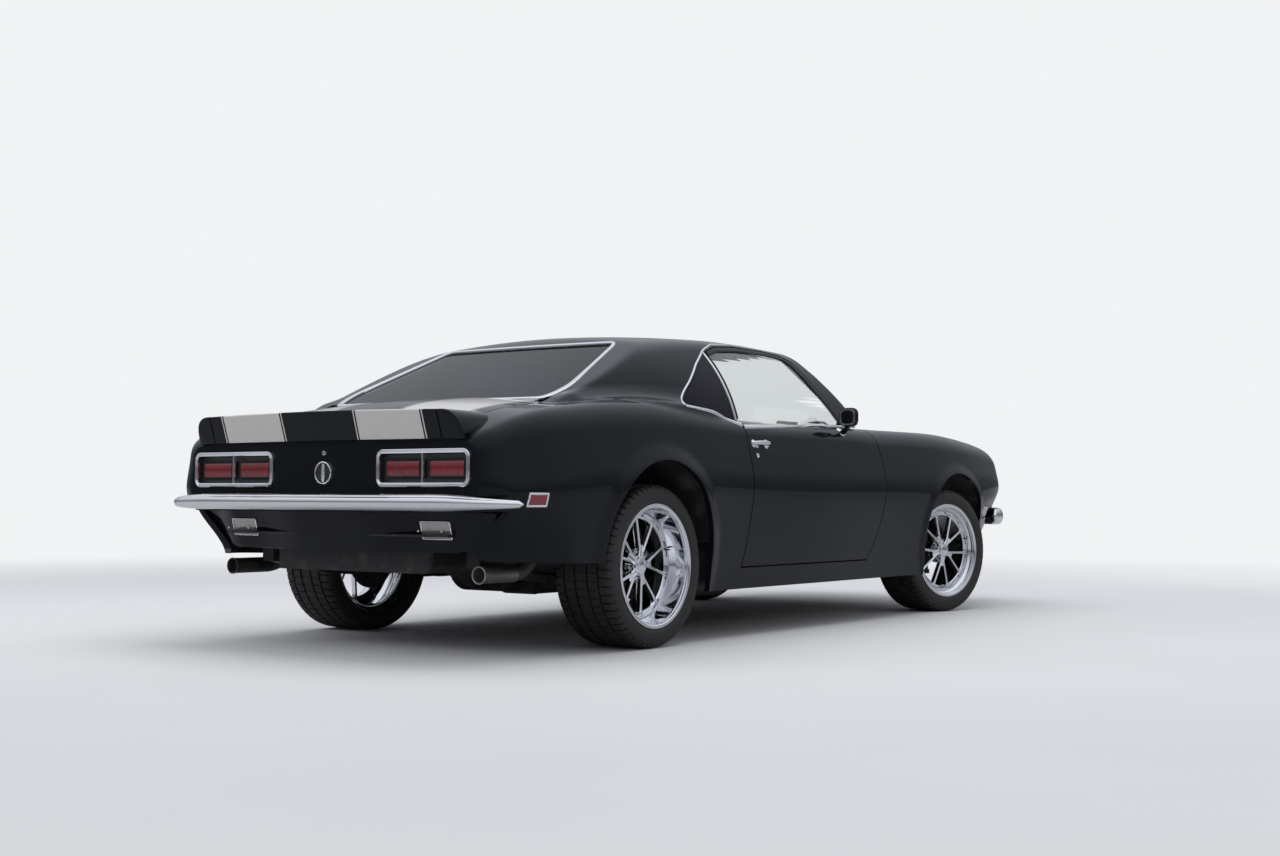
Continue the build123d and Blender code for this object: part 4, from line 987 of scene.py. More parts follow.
    def over(self, x: Points, y: Points) -> tuple[Points, Points]:
        """The top's points and normals over given x and y."""
        x, y = np.broadcast_arrays(np.asarray(x, float), np.asarray(y, float))
        points, normals = self._seek(x, math.radians(14), lambda far, angle: far * np.cos(angle) > np.abs(y))
        mirror = stack(1.0, np.where(y < 0, -1.0, 1.0), 1.0)
        return points * mirror, normals * mirror

    def shell(self, x_span: tuple, angle_span: tuple, thickness: float, step: float = 18.0, turn: float = 1.0,
              outset: float = 0.0) -> Mould:
        """A closed shell of part of the surface.

        Args:
            x_span: its ends along the car.
            angle_span: its ends about the hub line, in degrees.
            thickness: how thick it is, inwards.
            step: the size of its quads along the car.
            turn: their size about the hub line, in degrees.
            outset: moves it out from the surface.

        Returns:
            The shell.
        """
        columns = max(2, int(abs(x_span[1] - x_span[0]) / step) + 1)
        rows = max(2, int(abs(angle_span[1] - angle_span[0]) / turn) + 1)
        x = np.linspace(*x_span, columns)[:, None]
        points, normals = self.at(x, np.radians(np.linspace(*angle_span, rows))[None])
        outer, inner = points + normals * outset, points + normals * (outset - thickness)
        loop = np.concatenate([outer, inner[:, ::-1]], axis=1)
        faces = []
        width = 2 * rows
        for i in range(columns - 1):
            for j in range(width):
                k = (j + 1) % width
                faces.append((i * width + j, i * width + k, (i + 1) * width + k, (i + 1) * width + j))
        for i in (0, columns - 1):
            for j in range(rows - 1):
                face = (i * width + j, i * width + j + 1, i * width + width - 2 - j, i * width + width - 1 - j)
                faces.append(face if i == 0 else face[::-1])
        made = Mould("paint")
        made.add(loop, faces)
        return made

    def _at_points(self, points: Points) -> tuple[Points, Points]:
        """The surface's points and normals at the same x and angle as some points in millimetres."""
        return self.at(points[:, 0], np.arctan2(points[:, 2] - HUB_Z, points[:, 1]))

    def inner_faces(self, mesh: bpy.types.Mesh) -> Points:
        """Tells which of a mesh's faces look inward, away from the surface."""
        _, normals = self._at_points(read_all(mesh.polygons, "center", 3) / MM)
        return (read_all(mesh.polygons, "normal", 3) * normals).sum(1) < -0.3

    def shade(self, mesh: bpy.types.Mesh) -> None:
        """Gives the faces that lie on the surface its own smooth normals."""
        points = read_all(mesh.vertices, "co", 3) / MM
        surface, normals = self._at_points(points)
        on = np.abs(((points - surface) * normals).sum(1)) < ON_SURFACE
        flat = read_all(mesh.polygons, "normal", 3)
        starts, totals = (read_all(mesh.polygons, key, kind=int) for key in ("loop_start", "loop_total"))
        corners = read_all(mesh.loops, "vertex_index", kind=int)
        face_of = np.repeat(np.arange(len(mesh.polygons)), totals)
        on_face = np.minimum.reduceat(on[corners].astype(int), starts).astype(bool)
        facing = (flat[face_of] * normals[corners]).sum(1) > 0.5
        use = on_face[face_of] & facing
        mesh.shade_smooth()
        mesh.normals_split_custom_set(np.where(use[:, None], normals[corners], flat[face_of]).tolist())


BODY_SKIN = Skin(True, False)
WHOLE_SKIN = Skin(True, True)
PANE_SKIN = Skin(False, True, 6.0)
INNER_SKIN = Skin(False, True, 3.0)


def arc_through(a: Sequence, b: Sequence, c: Sequence, steps: int = 16) -> Points:
    """Points on the arc through three 2-D points."""
    centre, radius = circle_of(a, b, c)
    first, middle, last = (math.atan2(*(np.array(p, float) - centre)[::-1]) for p in (a, b, c))
    middle, last = ((angle - first + math.pi) % FULL_TURN - math.pi for angle in (middle, last))
    if middle * last < 0:
        last += FULL_TURN if middle > 0 else -FULL_TURN
    return on_circle(centre, radius, first + last * np.linspace(0, 1, steps + 1))


DOOR_FRONT = ((420, 298), (588, 690), (525, 915))
DOOR_REAR = ((-712, 298), (-645, 690), (-668, 915))
SIDE_OPENING = np.array([
    (372, 917), (366, 922), (282, 980), (152, 1102), (62, 1220), (0, 1248), (-145, 1257), (-417, 1255), (-596, 1241),
    (-700, 1208), (-822, 1138), (-931, 1058), (-1080, 960), (-880, 946), (-660, 906), (-650, 880)], float)
OPENING_RADII = (0, 3, 200, 200, 50, 50, 300, 300, 200, 200, 300, 300, 10, 300, 8, 0)
DOOR_WINDOW = ((410, 880), (390, 925), (92, 1236), (5, 1243), (-560, 1235), (-688, 1203), (-637, 925), (-637, 880))
QUARTER_WINDOW = ((-700, 1201), (-712, 1196), (-822, 1130), (-931, 1050), (-1074, 955), (-1080, 880), (-646, 880),
                  (-646, 925))
SCREEN_CORNERS = ((742, 938), (560, 1256))
REAR_GLASS_CORNERS = ((606, 968), (458, 1226))
LOWER_CUT = ((2400, 400), (2150, 370), (1800, 318), (1770, SILL_Z), (-1660, SILL_Z), (-1690, 338), (-2130, 352),
             (-2162, 372), (-2162, 529), (-2400, 529), (-2400, -60), (2400, -60))


def door_outline(margin: float) -> Points:
    """The door's outline in (x, z), grown by margin."""
    front = arc_through(*DOOR_FRONT) + [margin, 0]
    rear = arc_through(*DOOR_REAR)[::-1] - [margin, 0]
    front[0, 1] -= margin
    rear[-1, 1] -= margin
    return np.concatenate([front, [(525 + margin, 1115), (-668 - margin, 1115)], rear])


def ahead_of_door(margin: float) -> Points:
    """The outline of all that lies ahead of the door's front edge."""
    front = arc_through(*DOOR_FRONT) + [margin, 0]
    return np.concatenate([[(420 + margin, 60)], front, [(525 + margin, 1400), (3000, 1400), (3000, 60)]])


def arch_outline(axle_x: float, arch_z: float, arch_r: float) -> Points:
    """A wheel arch's outline in (x, z), open to the ground."""
    arc = on_circle((axle_x, arch_z), arch_r, np.linspace(-0.11, math.pi + 0.11, 49))
    return np.concatenate([arc, [(arc[-1, 0], -60), (arc[0, 0], -60)]])


def hood_outline(margin: float) -> Points:
    """The hood from above, grown by margin."""
    ends = (HOOD_REAR_X - margin, HOOD_FRONT_X + 1.5 * margin)
    return both_sides([(x, 690 - 80 * (x - HOOD_REAR_X) / (HOOD_FRONT_X - HOOD_REAR_X) + margin) for x in ends])


def lid_outline(margin: float) -> Points:
    """The deck lid from above, grown by margin."""
    return both_sides([(x, LID_HALF_WIDTH + margin) for x in (LID_FRONT_X + margin, LID_REAR_X - margin)])


def window_outline(corners: Sequence, grow: float = 0.0, radius: float = 45.0) -> Points:
    """A windshield's or back glass's outline in (y, z), grown by a margin."""
    (low_y, low_z), (high_y, high_z) = corners
    return rounded([(low_y + grow, low_z - grow), (high_y + grow, high_z + grow), (-high_y - grow, high_z + grow),
                    (-low_y - grow, low_z - grow)], radius)


@dataclass
class Panels:
    """The painted panels, each cut from the skin at its real seams."""

    depth: float = SKIN

    @staticmethod
    def _cut(name: str, shell: Mould, keep: Sequence[Mould], drop: Sequence[Mould], body: str, *nodes: str,
             skin: Skin = BODY_SKIN, finish: str = "paint", lining: str = "black_metal") -> None:
        """Cuts one panel out of a shell.

        Args:
            name: the panel's name.
            shell: what it is cut from.
            keep: cutters that it must lie inside.
            drop: cutters that are taken away.
            body: the CAD body that it rides on.
            nodes: the CAD nodes that it stands for.
            skin: the surface that the shell follows.
            finish: its paint.
            lining: what its inner face shows.
        """
        mesh = carve(name, shell, keep, drop, finish, lining)
        mesh.polygons.foreach_set("material_index", skin.inner_faces(mesh).astype(np.int32))
        skin.shade(mesh)
        dress(name, mesh, body, "paint", *nodes, smooth=False)

    def fender(self, side: Side) -> None:
        """A front fender."""
        drop = [cutter(arch_outline(*FRONT_ARCH)), cutter(LOWER_CUT), top_cutter(hood_outline(SEAM)),
                box_cutter(300, HOOD_REAR_X - SEAM, COWL_HALF_WIDTH),
                box_cutter(HOOD_FRONT_X, NOSE_X + 20, HEADER_HALF_WIDTH, 520)]
        self._cut("fender_" + side.word, BODY_SKIN.shell((390, NOSE_X), side.span(-30, 62), self.depth),
                  [cutter(ahead_of_door(SEAM))], drop, "root", "fender_" + side.word)

    def upper(self) -> None:
        """The quarter panels with the roof and its pillars, which are one welded shell."""
        ahead = np.concatenate([[(-712 - SEAM, 60)], arc_through(*DOOR_REAR) - [SEAM, 0],
                                [(-668 - SEAM, 942), (2000, 942), (2000, 60)]])
        drop = [cutter(arch_outline(*REAR_ARCH)), cutter(LOWER_CUT), cutter(rounded(SIDE_OPENING, OPENING_RADII)),
                cutter(window_outline(SCREEN_CORNERS), "yz", -100, 900),
                cutter(window_outline(REAR_GLASS_CORNERS), "yz", -1800, -850), top_cutter(lid_outline(SEAM)),
                box_cutter(LID_FRONT_X - 20, MOUTH_REAR_X, LID_HALF_WIDTH), cutter(ahead)]
        shell = WHOLE_SKIN.shell((TAIL_X, 600), (-30, 210), self.depth + 4, step=16, turn=0.8)
        self._cut("roof_and_quarters", shell, [], drop, "root", "roof", "quarter_left", "quarter_right",
                  skin=WHOLE_SKIN, lining="headliner")

    def door(self, side: Side) -> None:
        """A door's outer panel."""
        self._cut("door_panel_" + side.word, BODY_SKIN.shell((-730, 600), side.span(-24, 40), self.depth, turn=0.8),
                  [cutter(door_outline(0))], [box_cutter(-900, 900, 772, 300)], "door_" + side.word,
                  "door_" + side.word)

    def top_panels(self) -> None:
        """The hood, header, cowl, deck lid and the panel ahead of it."""
        for name, body, node, finish, span, angles, depth, step, keep in (
                ("hood_panel", "hood", "hood", "paint_front", (640, 2240), (30, 150), self.depth, 18,
                 top_cutter(hood_outline(0))),
                ("nose_header", "root", "header_panel", "paint_front", (HOOD_FRONT_X + 9, NOSE_X), (6, 174),
                 self.depth, 6, box_cutter(2200, 2400, HEADER_HALF_WIDTH)),
                ("cowl_panel", "root", "cowl", "paint_front", (COWL_REAR_X, HOOD_REAR_X - SEAM), (20, 160), 40, 18,
                 box_cutter(300, 900, COWL_HALF_WIDTH)),
                ("deck_lid_panel", "deck_lid", "deck_lid", "paint_rear", (-2255, -1740), (20, 160), self.depth, 18,
                 top_cutter(lid_outline(0))),
                ("rear_deck_top", "root", "rear_deck_panel", "paint_rear", (LID_FRONT_X + SEAM, -1600), (20, 160),
                 self.depth, 18, box_cutter(-1800, -1500, LID_HALF_WIDTH))):
            self._cut(name, BODY_SKIN.shell(span, angles, depth, step=step), [keep], [], body, node, finish=finish)

    def tail(self) -> None:
        """The flat tail panel between the quarters."""
        low = 525.0
        points, _ = BODY_SKIN.at(TAIL_X, np.radians(np.linspace(-10, 190, 161)))
        outline = points[points[:, 2] > low][:, 1:]
        outline = np.concatenate([[(outline[0, 0], low)], outline, [(outline[-1, 0], low)]])
        made = Mould("paint")
        made.prism(lift(outline, "yz", TAIL_X + 0.2), (0, 0, 0), (18, 0, 0))
        panel = made.piece("tail_face", "root", "paint", "tail_panel")
        for sign in (1, -1):
            pocket = rounded(oblong(sign * 281, 625, sign * 706, 742), 22)
            cut(panel, cutter(pocket, "yz", TAIL_X - 40, TAIL_X + 60), "DIFFERENCE")

    def rockers(self) -> None:
        """The sills under the doors."""
        for side in Side:
            self._cut("rocker_" + side.word, BODY_SKIN.shell((-717, 425), side.span(-30, -2), 60, turn=0.7),
                      [box_cutter(-717, 425, 1100, SILL_Z, 292)], [], "root", *side.once("rockers"))

    def build(self) -> None:
        """All painted panels."""
        for side in Side:
            self.fender(side)
            self.door(side)
        self.upper()
        self.top_panels()
        self.tail()
        self.rockers()


@dataclass
class Glass:
    """The windows, cut from the roof's surface set in by a few millimetres."""

    thick: float = 4.0

    def _pane(self, name: str, span: tuple, angles: tuple, keep: Mould, body: str, finish: str, *nodes: str) -> None:
        """Cuts one pane."""
        mesh = carve(name, PANE_SKIN.shell(span, angles, self.thick, step=14, turn=0.8), [keep], [], finish)
        PANE_SKIN.shade(mesh)
        dress(name, mesh, body, finish, *nodes, smooth=False)

    def build(self) -> None:
        """All panes."""
        self._pane("windshield_pane", (40, 590), (20, 160), cutter(window_outline(SCREEN_CORNERS, 4), "yz", -100, 900),
                   "root", "clear_glass", "windshield")
        back = cutter(window_outline(REAR_GLASS_CORNERS, 4), "yz", -1800, -850)
        self._pane("back_pane", (-1700, -1000), (20, 160), back, "root", "tinted_glass", "rear_glass")
        for side in Side:
            angles, door = side.span(18, 62), "door_" + side.word
            self._pane("door_pane_" + side.word, (-730, 470), angles,
                       cutter(rounded(DOOR_WINDOW, [0, 20, 40, 50, 60, 6, 6, 0])), door, "clear_glass",
                       "door_glass_" + side.word)
            self._pane("quarter_pane_" + side.word, (-1110, -600), angles,
                       cutter(rounded(QUARTER_WINDOW, [4, 4, 200, 200, 8, 0, 0, 6])), "root", "tinted_glass",
                       *side.once("quarter_glass"))


def steered(points: Points, side: Side) -> Points:
    """Turns unsteered points about a front wheel's kingpin to where the wheel is parked."""
    turn = math.radians(REST_STEER_DEG)
    pivot = np.array([FRONT_AXLE_X, side.value * KINGPIN_Y, 0.0])
    rotate = np.array([[math.cos(turn), -math.sin(turn), 0], [math.sin(turn), math.cos(turn), 0], [0, 0, 1]])
    return (points - pivot) @ rotate.T + pivot


@dataclass
class Wheel:
    """One wheel: a treaded tyre on a deep-dish rim with five split spokes."""

    side: Side
    front: bool
    pitches: int = 60
    slit: float = 6.5
    groove: float = 7.5
    spokes: int = 5

    def __post_init__(self) -> None:
        """Works out its width, the set-back of its spokes, its first spoke's angle, its place and its name."""
        self.width, self.dish, self.phase, self.y, self.x = (
            (245.0, 42.0, 50.0, 748.5, FRONT_AXLE_X) if self.front else (275.0, 92.0, 77.0, 736.5, REAR_AXLE_X))
        self.name = ("front_" if self.front else "rear_") + self.side.word

    def _finish(self, mould: Mould, kind: str, slot: str, angle: float) -> None:
        """Moves a piece from the wheel's own frame, in which Y points outwards, to its place, and makes it."""
        points = np.concatenate(mould.points)
        placed = stack(points[:, 0] + self.x, (points[:, 1] + self.y) * self.side.value, points[:, 2] + TYRE_RADIUS)
        mould.points = [steered(placed, self.side) if self.front else placed]
        mould.piece(f"{kind}_{self.name}_look", "wheel_" + self.name, slot, f"{kind}_{self.name}", angle=angle)

    def _tread(self) -> list:
        """The tyre's outline as (along, radius, slit depth), from the inner bead over the tread to the outer."""
        half, slit, groove = self.width / 2, self.slit, self.groove
        edge, first, second = 0.43 * self.width, 0.105 * self.width, 0.285 * self.width
        right = [(0.0, 318.0, 2.0), (first - 12, 318.0, 2.0), (first - 6, 317.8, 4.0), (first - 4.5, 317.8, 0),
                 (first - 3.2, 317.8 - groove, 0), (first + 3.2, 317.8 - groove, 0), (first + 4.5, 317.7, 0),
                 (first + 7, 317.7, 3.5), (second - 14, 317.2, 3.5), (second - 7, 317.0, 0),
                 (second - 4.5, 317.0, 0), (second - 3.2, 317.0 - groove, 0), (second + 3.2, 317.0 - groove, 0),
                 (second + 4.5, 316.8, 0), (second + 6, 316.7, slit), (edge - 10, 315.6, slit), (edge, 313.6, slit),
                 (half - 12, 308.5, slit), (half - 7, 302.5, slit), (half - 5.4, 299.5, 1.0)]
        right += [(half - inward, radius, 0) for inward, radius in (
            (3.6, 295), (1.4, 288), (0, 276), (0.8, 266), (2.6, 259), (2.2, 257), (3.4, 254.5), (6.6, 248.5),
            (9.5, 244.6), (15, 241), (15.5, 232))]
        liner = [(half - inward, radius, 0) for inward, radius in ((34, 236), (26, 262), (40, 296))]
        return [(-t, r, d) for t, r, d in reversed(right[1:])] + right + liner + [(-t, r, d) for t, r, d in liner[::-1]]

    def tyre(self) -> None:
        """The tyre, with four grooves round it and slits across its ribs."""
        along, radius, depth = np.array(self._tread()).T
        stagger = 0.5 * (np.abs(along) < 0.285 * self.width) + 0.12 * np.abs(along) / 60
        rows = []
        for index in range(self.pitches):
            for step, slit in ((0.0, 0), (0.2, 0), (0.4, 0), (0.6, 0), (0.80, 0), (0.83, 1), (0.97, 1)):
                angle = (index + step + stagger) * (FULL_TURN / self.pitches)
                size = radius - slit * depth
                rows.append(stack(size * np.cos(angle), along, size * np.sin(angle)))
        mould = Mould("tyre")
        mould.grid(rows, close_u=True, close_v=True)
        self._finish(mould, "tyre", "tyre", 32)

    @staticmethod
    def _bar(mould: Mould, path: Points, half: Sequence, deep: float, across: Points) -> None:
        """One spoke arm: a bar with a crowned face, from points in the wheel's own frame."""
        half = np.asarray(half, float)[:, None]
        rows = [path + across * half * share + np.array([0.0, 1.0, 0.0]) * drop for share, drop in (
            (-0.9, -deep), (-1, -4.0), (-0.84, -0.8), (-0.62, 0.2), (-0.40, -0.8), (-0.24, -2.6), (0.24, -2.6),
            (0.40, -0.8), (0.62, 0.2), (0.84, -0.8), (1, -4.0), (0.9, -deep))]
        mould.loft(np.array(rows).transpose(1, 0, 2))

    def _ring(self, mould: Mould, face: float) -> None:
        """The ring that joins the spokes, with a slot between each pair of arms."""
        size, out = np.array([
            (208.6, face - 20), (208.2, face - 2), (205.5, face), (201.5, face + 0.3), (200.6, face),
            (191.5, face - 0.6), (190.6, face - 0.3), (184.5, face - 1), (181.5, face - 5), (180.5, face - 21)]).T
        slot_of = np.array([0, 0, 0, 0, 1, 1, 0, 0, 0, 0])
        reach = math.radians(9.5)
        rows = []
        for index in range(2 * self.spokes):
            middle = (index + 0.5) * math.pi / self.spokes
            turns = [(middle - reach - 0.012, 0)] + [(middle + reach * part, 1) for part in np.linspace(-1, 1, 7)]
            turns += [(middle + reach + 0.012 + part, 0) for part in (0.0, 0.09, 0.18)]
            for turn, sunk in turns:
                rows.append(stack(size * np.cos(turn), out - 7.0 * slot_of * sunk, size * np.sin(turn)))
        mould.grid(rows, close_u=True, close_v=True)

    def _spoke(self, mould: Mould, face: float, turn: float) -> None:
        """One split spoke: a short root and its two arms."""
        radial = np.array([math.cos(turn), 0, math.sin(turn)])
        side = np.array([-math.sin(turn), 0, math.cos(turn)])
        reach = np.array([30.0, 46, 60, 72, 82])
        rise = face + np.array([9.0, 7.4, 5.6, 4.2, 2.6])
        self._bar(mould, radial * reach[:, None] + stack(0, rise, 0), [15, 14, 15, 16, 13], 26, side)
        run = np.linspace(0, 1, 12)
        reach = 58 + (188 - 58) * run
        for hand in (-1, 1):
            spread = hand * (9.0 + (188 * math.tan(math.radians(17.5)) - 9.0) * run)
            path = radial * reach[:, None] + side * spread[:, None] + stack(0, face + 6.4 - 6.2 * run ** 0.8, 0)
            across = np.cross(unit(directions(path, False)), np.array([0.0, 1.0, 0.0]))
            self._bar(mould, path, 6.4 + 4.6 * np.clip((run - 0.72) / 0.28, 0, 1) ** 2, 22, across)

    def rim(self) -> None:
        """The rim: lip, polished barrel, ring, split spokes, hub, nuts and cap."""
        half, face = self.width / 2, self.width / 2 - self.dish
        middle, out = (0, 0, 0), (0, 1, 0)
        mould = Mould("wheel_chrome", "black_metal", "iron_bright")
        lip = [(radius, half - inward) for radius, inward in (
            (243.0, 13), (242.6, 8), (241.2, 5.8), (238.6, 4.8), (234.0, 5.0), (229.5, 6.4), (226.6, 8.6),
            (225.4, 11.5), (225.0, 15), (223.4, 16.8), (222.4, 20), (221.8, 26))]
        barrel = [(213.0, face + 9), (209.5, face + 3), (208.5, face - 4), (207.5, face - 30), (205.0, -half + 60),
                  (222.0, -half + 26), (230.0, -half + 20), (241.5, -half + 9), (243.0, -half + 10),
                  (243.0, -half + 16), (232.0, -half + 28), (214.0, -half + 62), (215.0, face - 30),
                  (217.0, face + 9), (232.0, half - 30), (234.0, half - 16)]
        mould.lathe(lip + barrel, middle, out, 128, closed=True)
        self._ring(mould, face)
        for index in range(self.spokes):
            self._spoke(mould, face, math.radians(self.phase) + index * FULL_TURN / self.spokes)
        hub = ((0.5, -26), (58.0, -26), (64.0, -24), (66.0, -19), (66.0, -44), (0.5, -44))
        neck = ((38.0, -27), (38.0, 2), (35.5, 4), (34.6, 10), (33.0, 13), (29.5, 14.2), (28.6, 12.6), (26.8, 12.8),
                (25.6, 14.4), (19.5, 15.6), (18.6, 14.2), (16.8, 14.4), (15.8, 16.0), (7.0, 17.0), (0.5, 17.2))
        for profile in (hub, neck):
            mould.lathe([(radius, face + rise) for radius, rise in profile], middle, out, 64)
        for index in range(self.spokes):
            turn = math.radians(self.phase + 36) + index * FULL_TURN / self.spokes
            mould.lathe([(11.5, 0), (11.5, 1.5), (9.5, 2.5), (9.0, 15), (7.5, 18), (0.5, 18.6)],
                        (52 * math.cos(turn), face - 26, 52 * math.sin(turn)), out, 6, "iron_bright")
        valve = (196 * math.cos(0.3), face + 8, 196 * math.sin(0.3))
        mould.lathe([(3.2, -10), (3.2, 4), (2.4, 5), (2.4, 14), (0.4, 15)], valve, out, 12, "black_metal")
        self._finish(mould, "rim", "wheel_chrome", 30)

    def build(self) -> None:
        """Both pieces."""
        self.tyre()
        self.rim()


Place = Callable[[Points, Points, Points], Points]


def frame_ring(mould: Mould, box: Sequence, radius: float, section: Sequence, place: Place,
               finish: Optional[str] = None, steps: int = 8) -> None:
    """A moulding round a rounded shape.

    Args:
        mould: the piece that it is added to.
        box: the shape's low a and b, then its high a and b.
        radius: its corner radius.
        section: the moulding's section as (inset, height) points.
        place: puts (a, b, height) into space.
        finish: its finish.
        steps: how many steps round a corner.
    """
    a0, b0, a1, b1 = box
    rows = []
    for inset, height in section:
        line = rounded(oblong(a0 + inset, b0 + inset, a1 - inset, b1 - inset), max(radius - inset, 1.5), steps)
        rows.append(place(line[:, 0], line[:, 1], height))
    mould.grid(rows, close_v=True, finish=finish)


def flat_face(mould: Mould, box: Sequence, radius: float, height: float, place: Place,
              finish: Optional[str] = None, steps: int = 8) -> None:
    """A flat rounded face inside a moulding, with frame_ring's arguments."""
    line = rounded(oblong(*box), radius, steps)
    mould.sheet(place(line[:, 0], line[:, 1], height), finish)


def tail_place(a: Points, b: Points, height: Points) -> Points:
    """Puts (y, z, height) onto the tail panel."""
    return stack(TAIL_X - height, a, b)


def run_along(line: Points) -> Points:
    """The distance along a line at each of its points."""
    return np.concatenate([[0], np.cumsum(np.linalg.norm(np.diff(line, axis=0), axis=1))])


def resample(line: Points, step: float, extra: int) -> Points:
    """A line at an even step, with extra points beyond the whole steps."""
    run = run_along(line)
    at = np.linspace(0, run[-1], int(run[-1] / step) + extra)
    return np.stack([np.interp(at, run, column) for column in line.T], 1)


def open_curve(corners: Sequence, radii: Sequence, step: float) -> Points:
    """An open 2-D line with rounded corners, resampled at an even step."""
    corners = np.asarray(corners, float)
    turns = [rounded(corners[i:i + 3], [0, radius, 0], 24)[1:-1] for i, radius in enumerate(radii)]
    return resample(np.concatenate([corners[:1], *turns, corners[-1:]]), step, 1)


@dataclass
class Tail:
    """The tail: spoiler, lamps, filler cap, valance, small lamps and plate."""

    spoiler_rows: tuple = (
        # y, front_x, front_z, lip_x, lip_z, under_x, under_z, low_x, low_z
        (0, -2070, 900, -2306, 896, -2300, 880, -2272, 787), (589, -2075, 890, -2303, 889, -2297, 873, -2268, 785))
    end_rows: tuple = (
        (595, -2075, 890, -2303, 889, -2297, 873, -2268, 785), (640, -2088, 880, -2300, 884, -2295, 868, -2267, 784),
        (666, -2110, 868, -2292, 866, -2289, 852, -2266, 783), (681, -2132, 848, -2280, 838, -2278, 826, -2264, 782),
        (690, -2155, 822, -2266, 804, -2264, 798, -2262, 781))
    lamp_y: tuple = (271.0, 716.0)
    lamp_z: tuple = (615.0, 752.0)
    lens_depth: float = 9.0

    @staticmethod
    def _spoiler_row(y: float, row: Sequence, sign: float) -> Points:
        """The spoiler's closed section at y."""
        front_x, front_z, lip_x, lip_z, under_x, under_z, low_x, low_z = row
        deck = float(BODY_SKIN.over([front_x], [min(y, 780.0)])[0][0, 2])
        corners = [(front_x, max(front_z, deck - 1.0)), (lip_x, lip_z), (under_x, under_z), (low_x, low_z),
                   (low_x + 9, low_z + 2), (low_x + 12, low_z + 22), (front_x + 16, min(front_z, deck) - 16)]
        return lift(rounded(corners, [3, 9, 18, 4, 2, 4, 3], 6), "xz", sign * y)

    def spoiler(self) -> None:
        """The spoiler: one long blade on the lid, and a tapered end on each quarter."""
        middle, end = np.array(self.spoiler_rows, float)[:, 1:]
        mould = Mould("paint_rear")
        rows = []
        for y in np.linspace(-589, 589, 41):
            share = (abs(y) / 589) ** 2
            rows.append(self._spoiler_row(abs(y), middle * (1 - share) + end * share, 1 if y >= 0 else -1))
        mould.loft(rows)
        mould.piece("spoiler_blade", "deck_lid", "paint", "spoiler", angle=50)
        table = np.array(self.end_rows, float)
        ends = Mould("paint")
        at = np.linspace(595, 690, 24)
        for sign in (1, -1):
            ends.loft([self._spoiler_row(y, row, sign) for y, row in zip(at, spline(table[:, 0], table[:, 1:], at))])
        ends.piece("spoiler_tips", "root", "paint", "spoiler_ends", angle=50)

    def _lens(self, mould: Mould, start: float, end: float) -> None:
        """One ribbed red lens in its black rim."""
        y_low, y_high, z_low, z_high = start + 24, end - 22, self.lamp_z[0] + 40.0, self.lamp_z[1] - 44.0
        across = np.linspace(y_low, y_high, 169)
        ribs = -self.lens_depth + 1.7 * np.abs(np.sin(np.pi * (across - y_low) / 8.0)) ** 0.6
        mould.grid([tail_place(across, z, ribs - drop) for z, drop in (
            (z_low - 1, 10), (z_low, 2.0), (z_low + 5, 0), (z_high - 5, 0), (z_high, 2.0), (z_high + 1, 10))],
            finish="red_lens")
        frame_ring(mould, (y_low - 5, z_low - 5, y_high + 5, z_high + 5), 3,
                   [(0, -20), (0, -9.5), (1.4, -8.2), (3.0, -9.5), (4.2, -20)], tail_place, "black_plastic", 3)

    def lamps(self) -> None:
        """The tail lamps: a stepped chrome bezel, a divider, a deep black housing and two ribbed red lenses."""
        mould = Mould("chrome", "black_plastic", "red_lens")
        bottom, top = self.lamp_z
        for side in Side:
            low, high = self.lamp_y if side is Side.LEFT else (-self.lamp_y[1], -self.lamp_y[0])
            box = (low, bottom, high, top)
            section = [(0, -4), (0, 7), (1.2, 10), (3.2, 11.4), (5.6, 11.2), (7.2, 8.6), (8.6, 7.6), (10.2, 8.2),
                       (11.6, 10.6), (13.6, 11.2), (15.6, 9.6), (16.8, 5), (17.0, -6)]
            frame_ring(mould, box, 31, section, tail_place)
            frame_ring(mould, box, 31, [(16.9, 0), (19.5, -16), (30, -20)], tail_place, "black_plastic")
            flat_face(mould, (low + 30, bottom + 30, high - 30, top - 30), 1.5, -20.0, tail_place, "black_plastic")
            middle = (low + high) / 2
            across, proud = np.array([(-4.6, -20), (-4.6, 5.5), (-3, 8.4), (0, 9.4), (3, 8.4), (4.6, 5.5),
                                      (4.6, -20)]).T
            mould.loft([tail_place(middle + across, z, proud) for z in (bottom + 15, top - 15)])
            for start, end in ((low + 17, middle - 4.6), (middle + 4.6, high - 17)):
                self._lens(mould, start, end)
        mould.piece("tail_lamps_look", "root", "red_lens", "tail_lamps", angle=30)

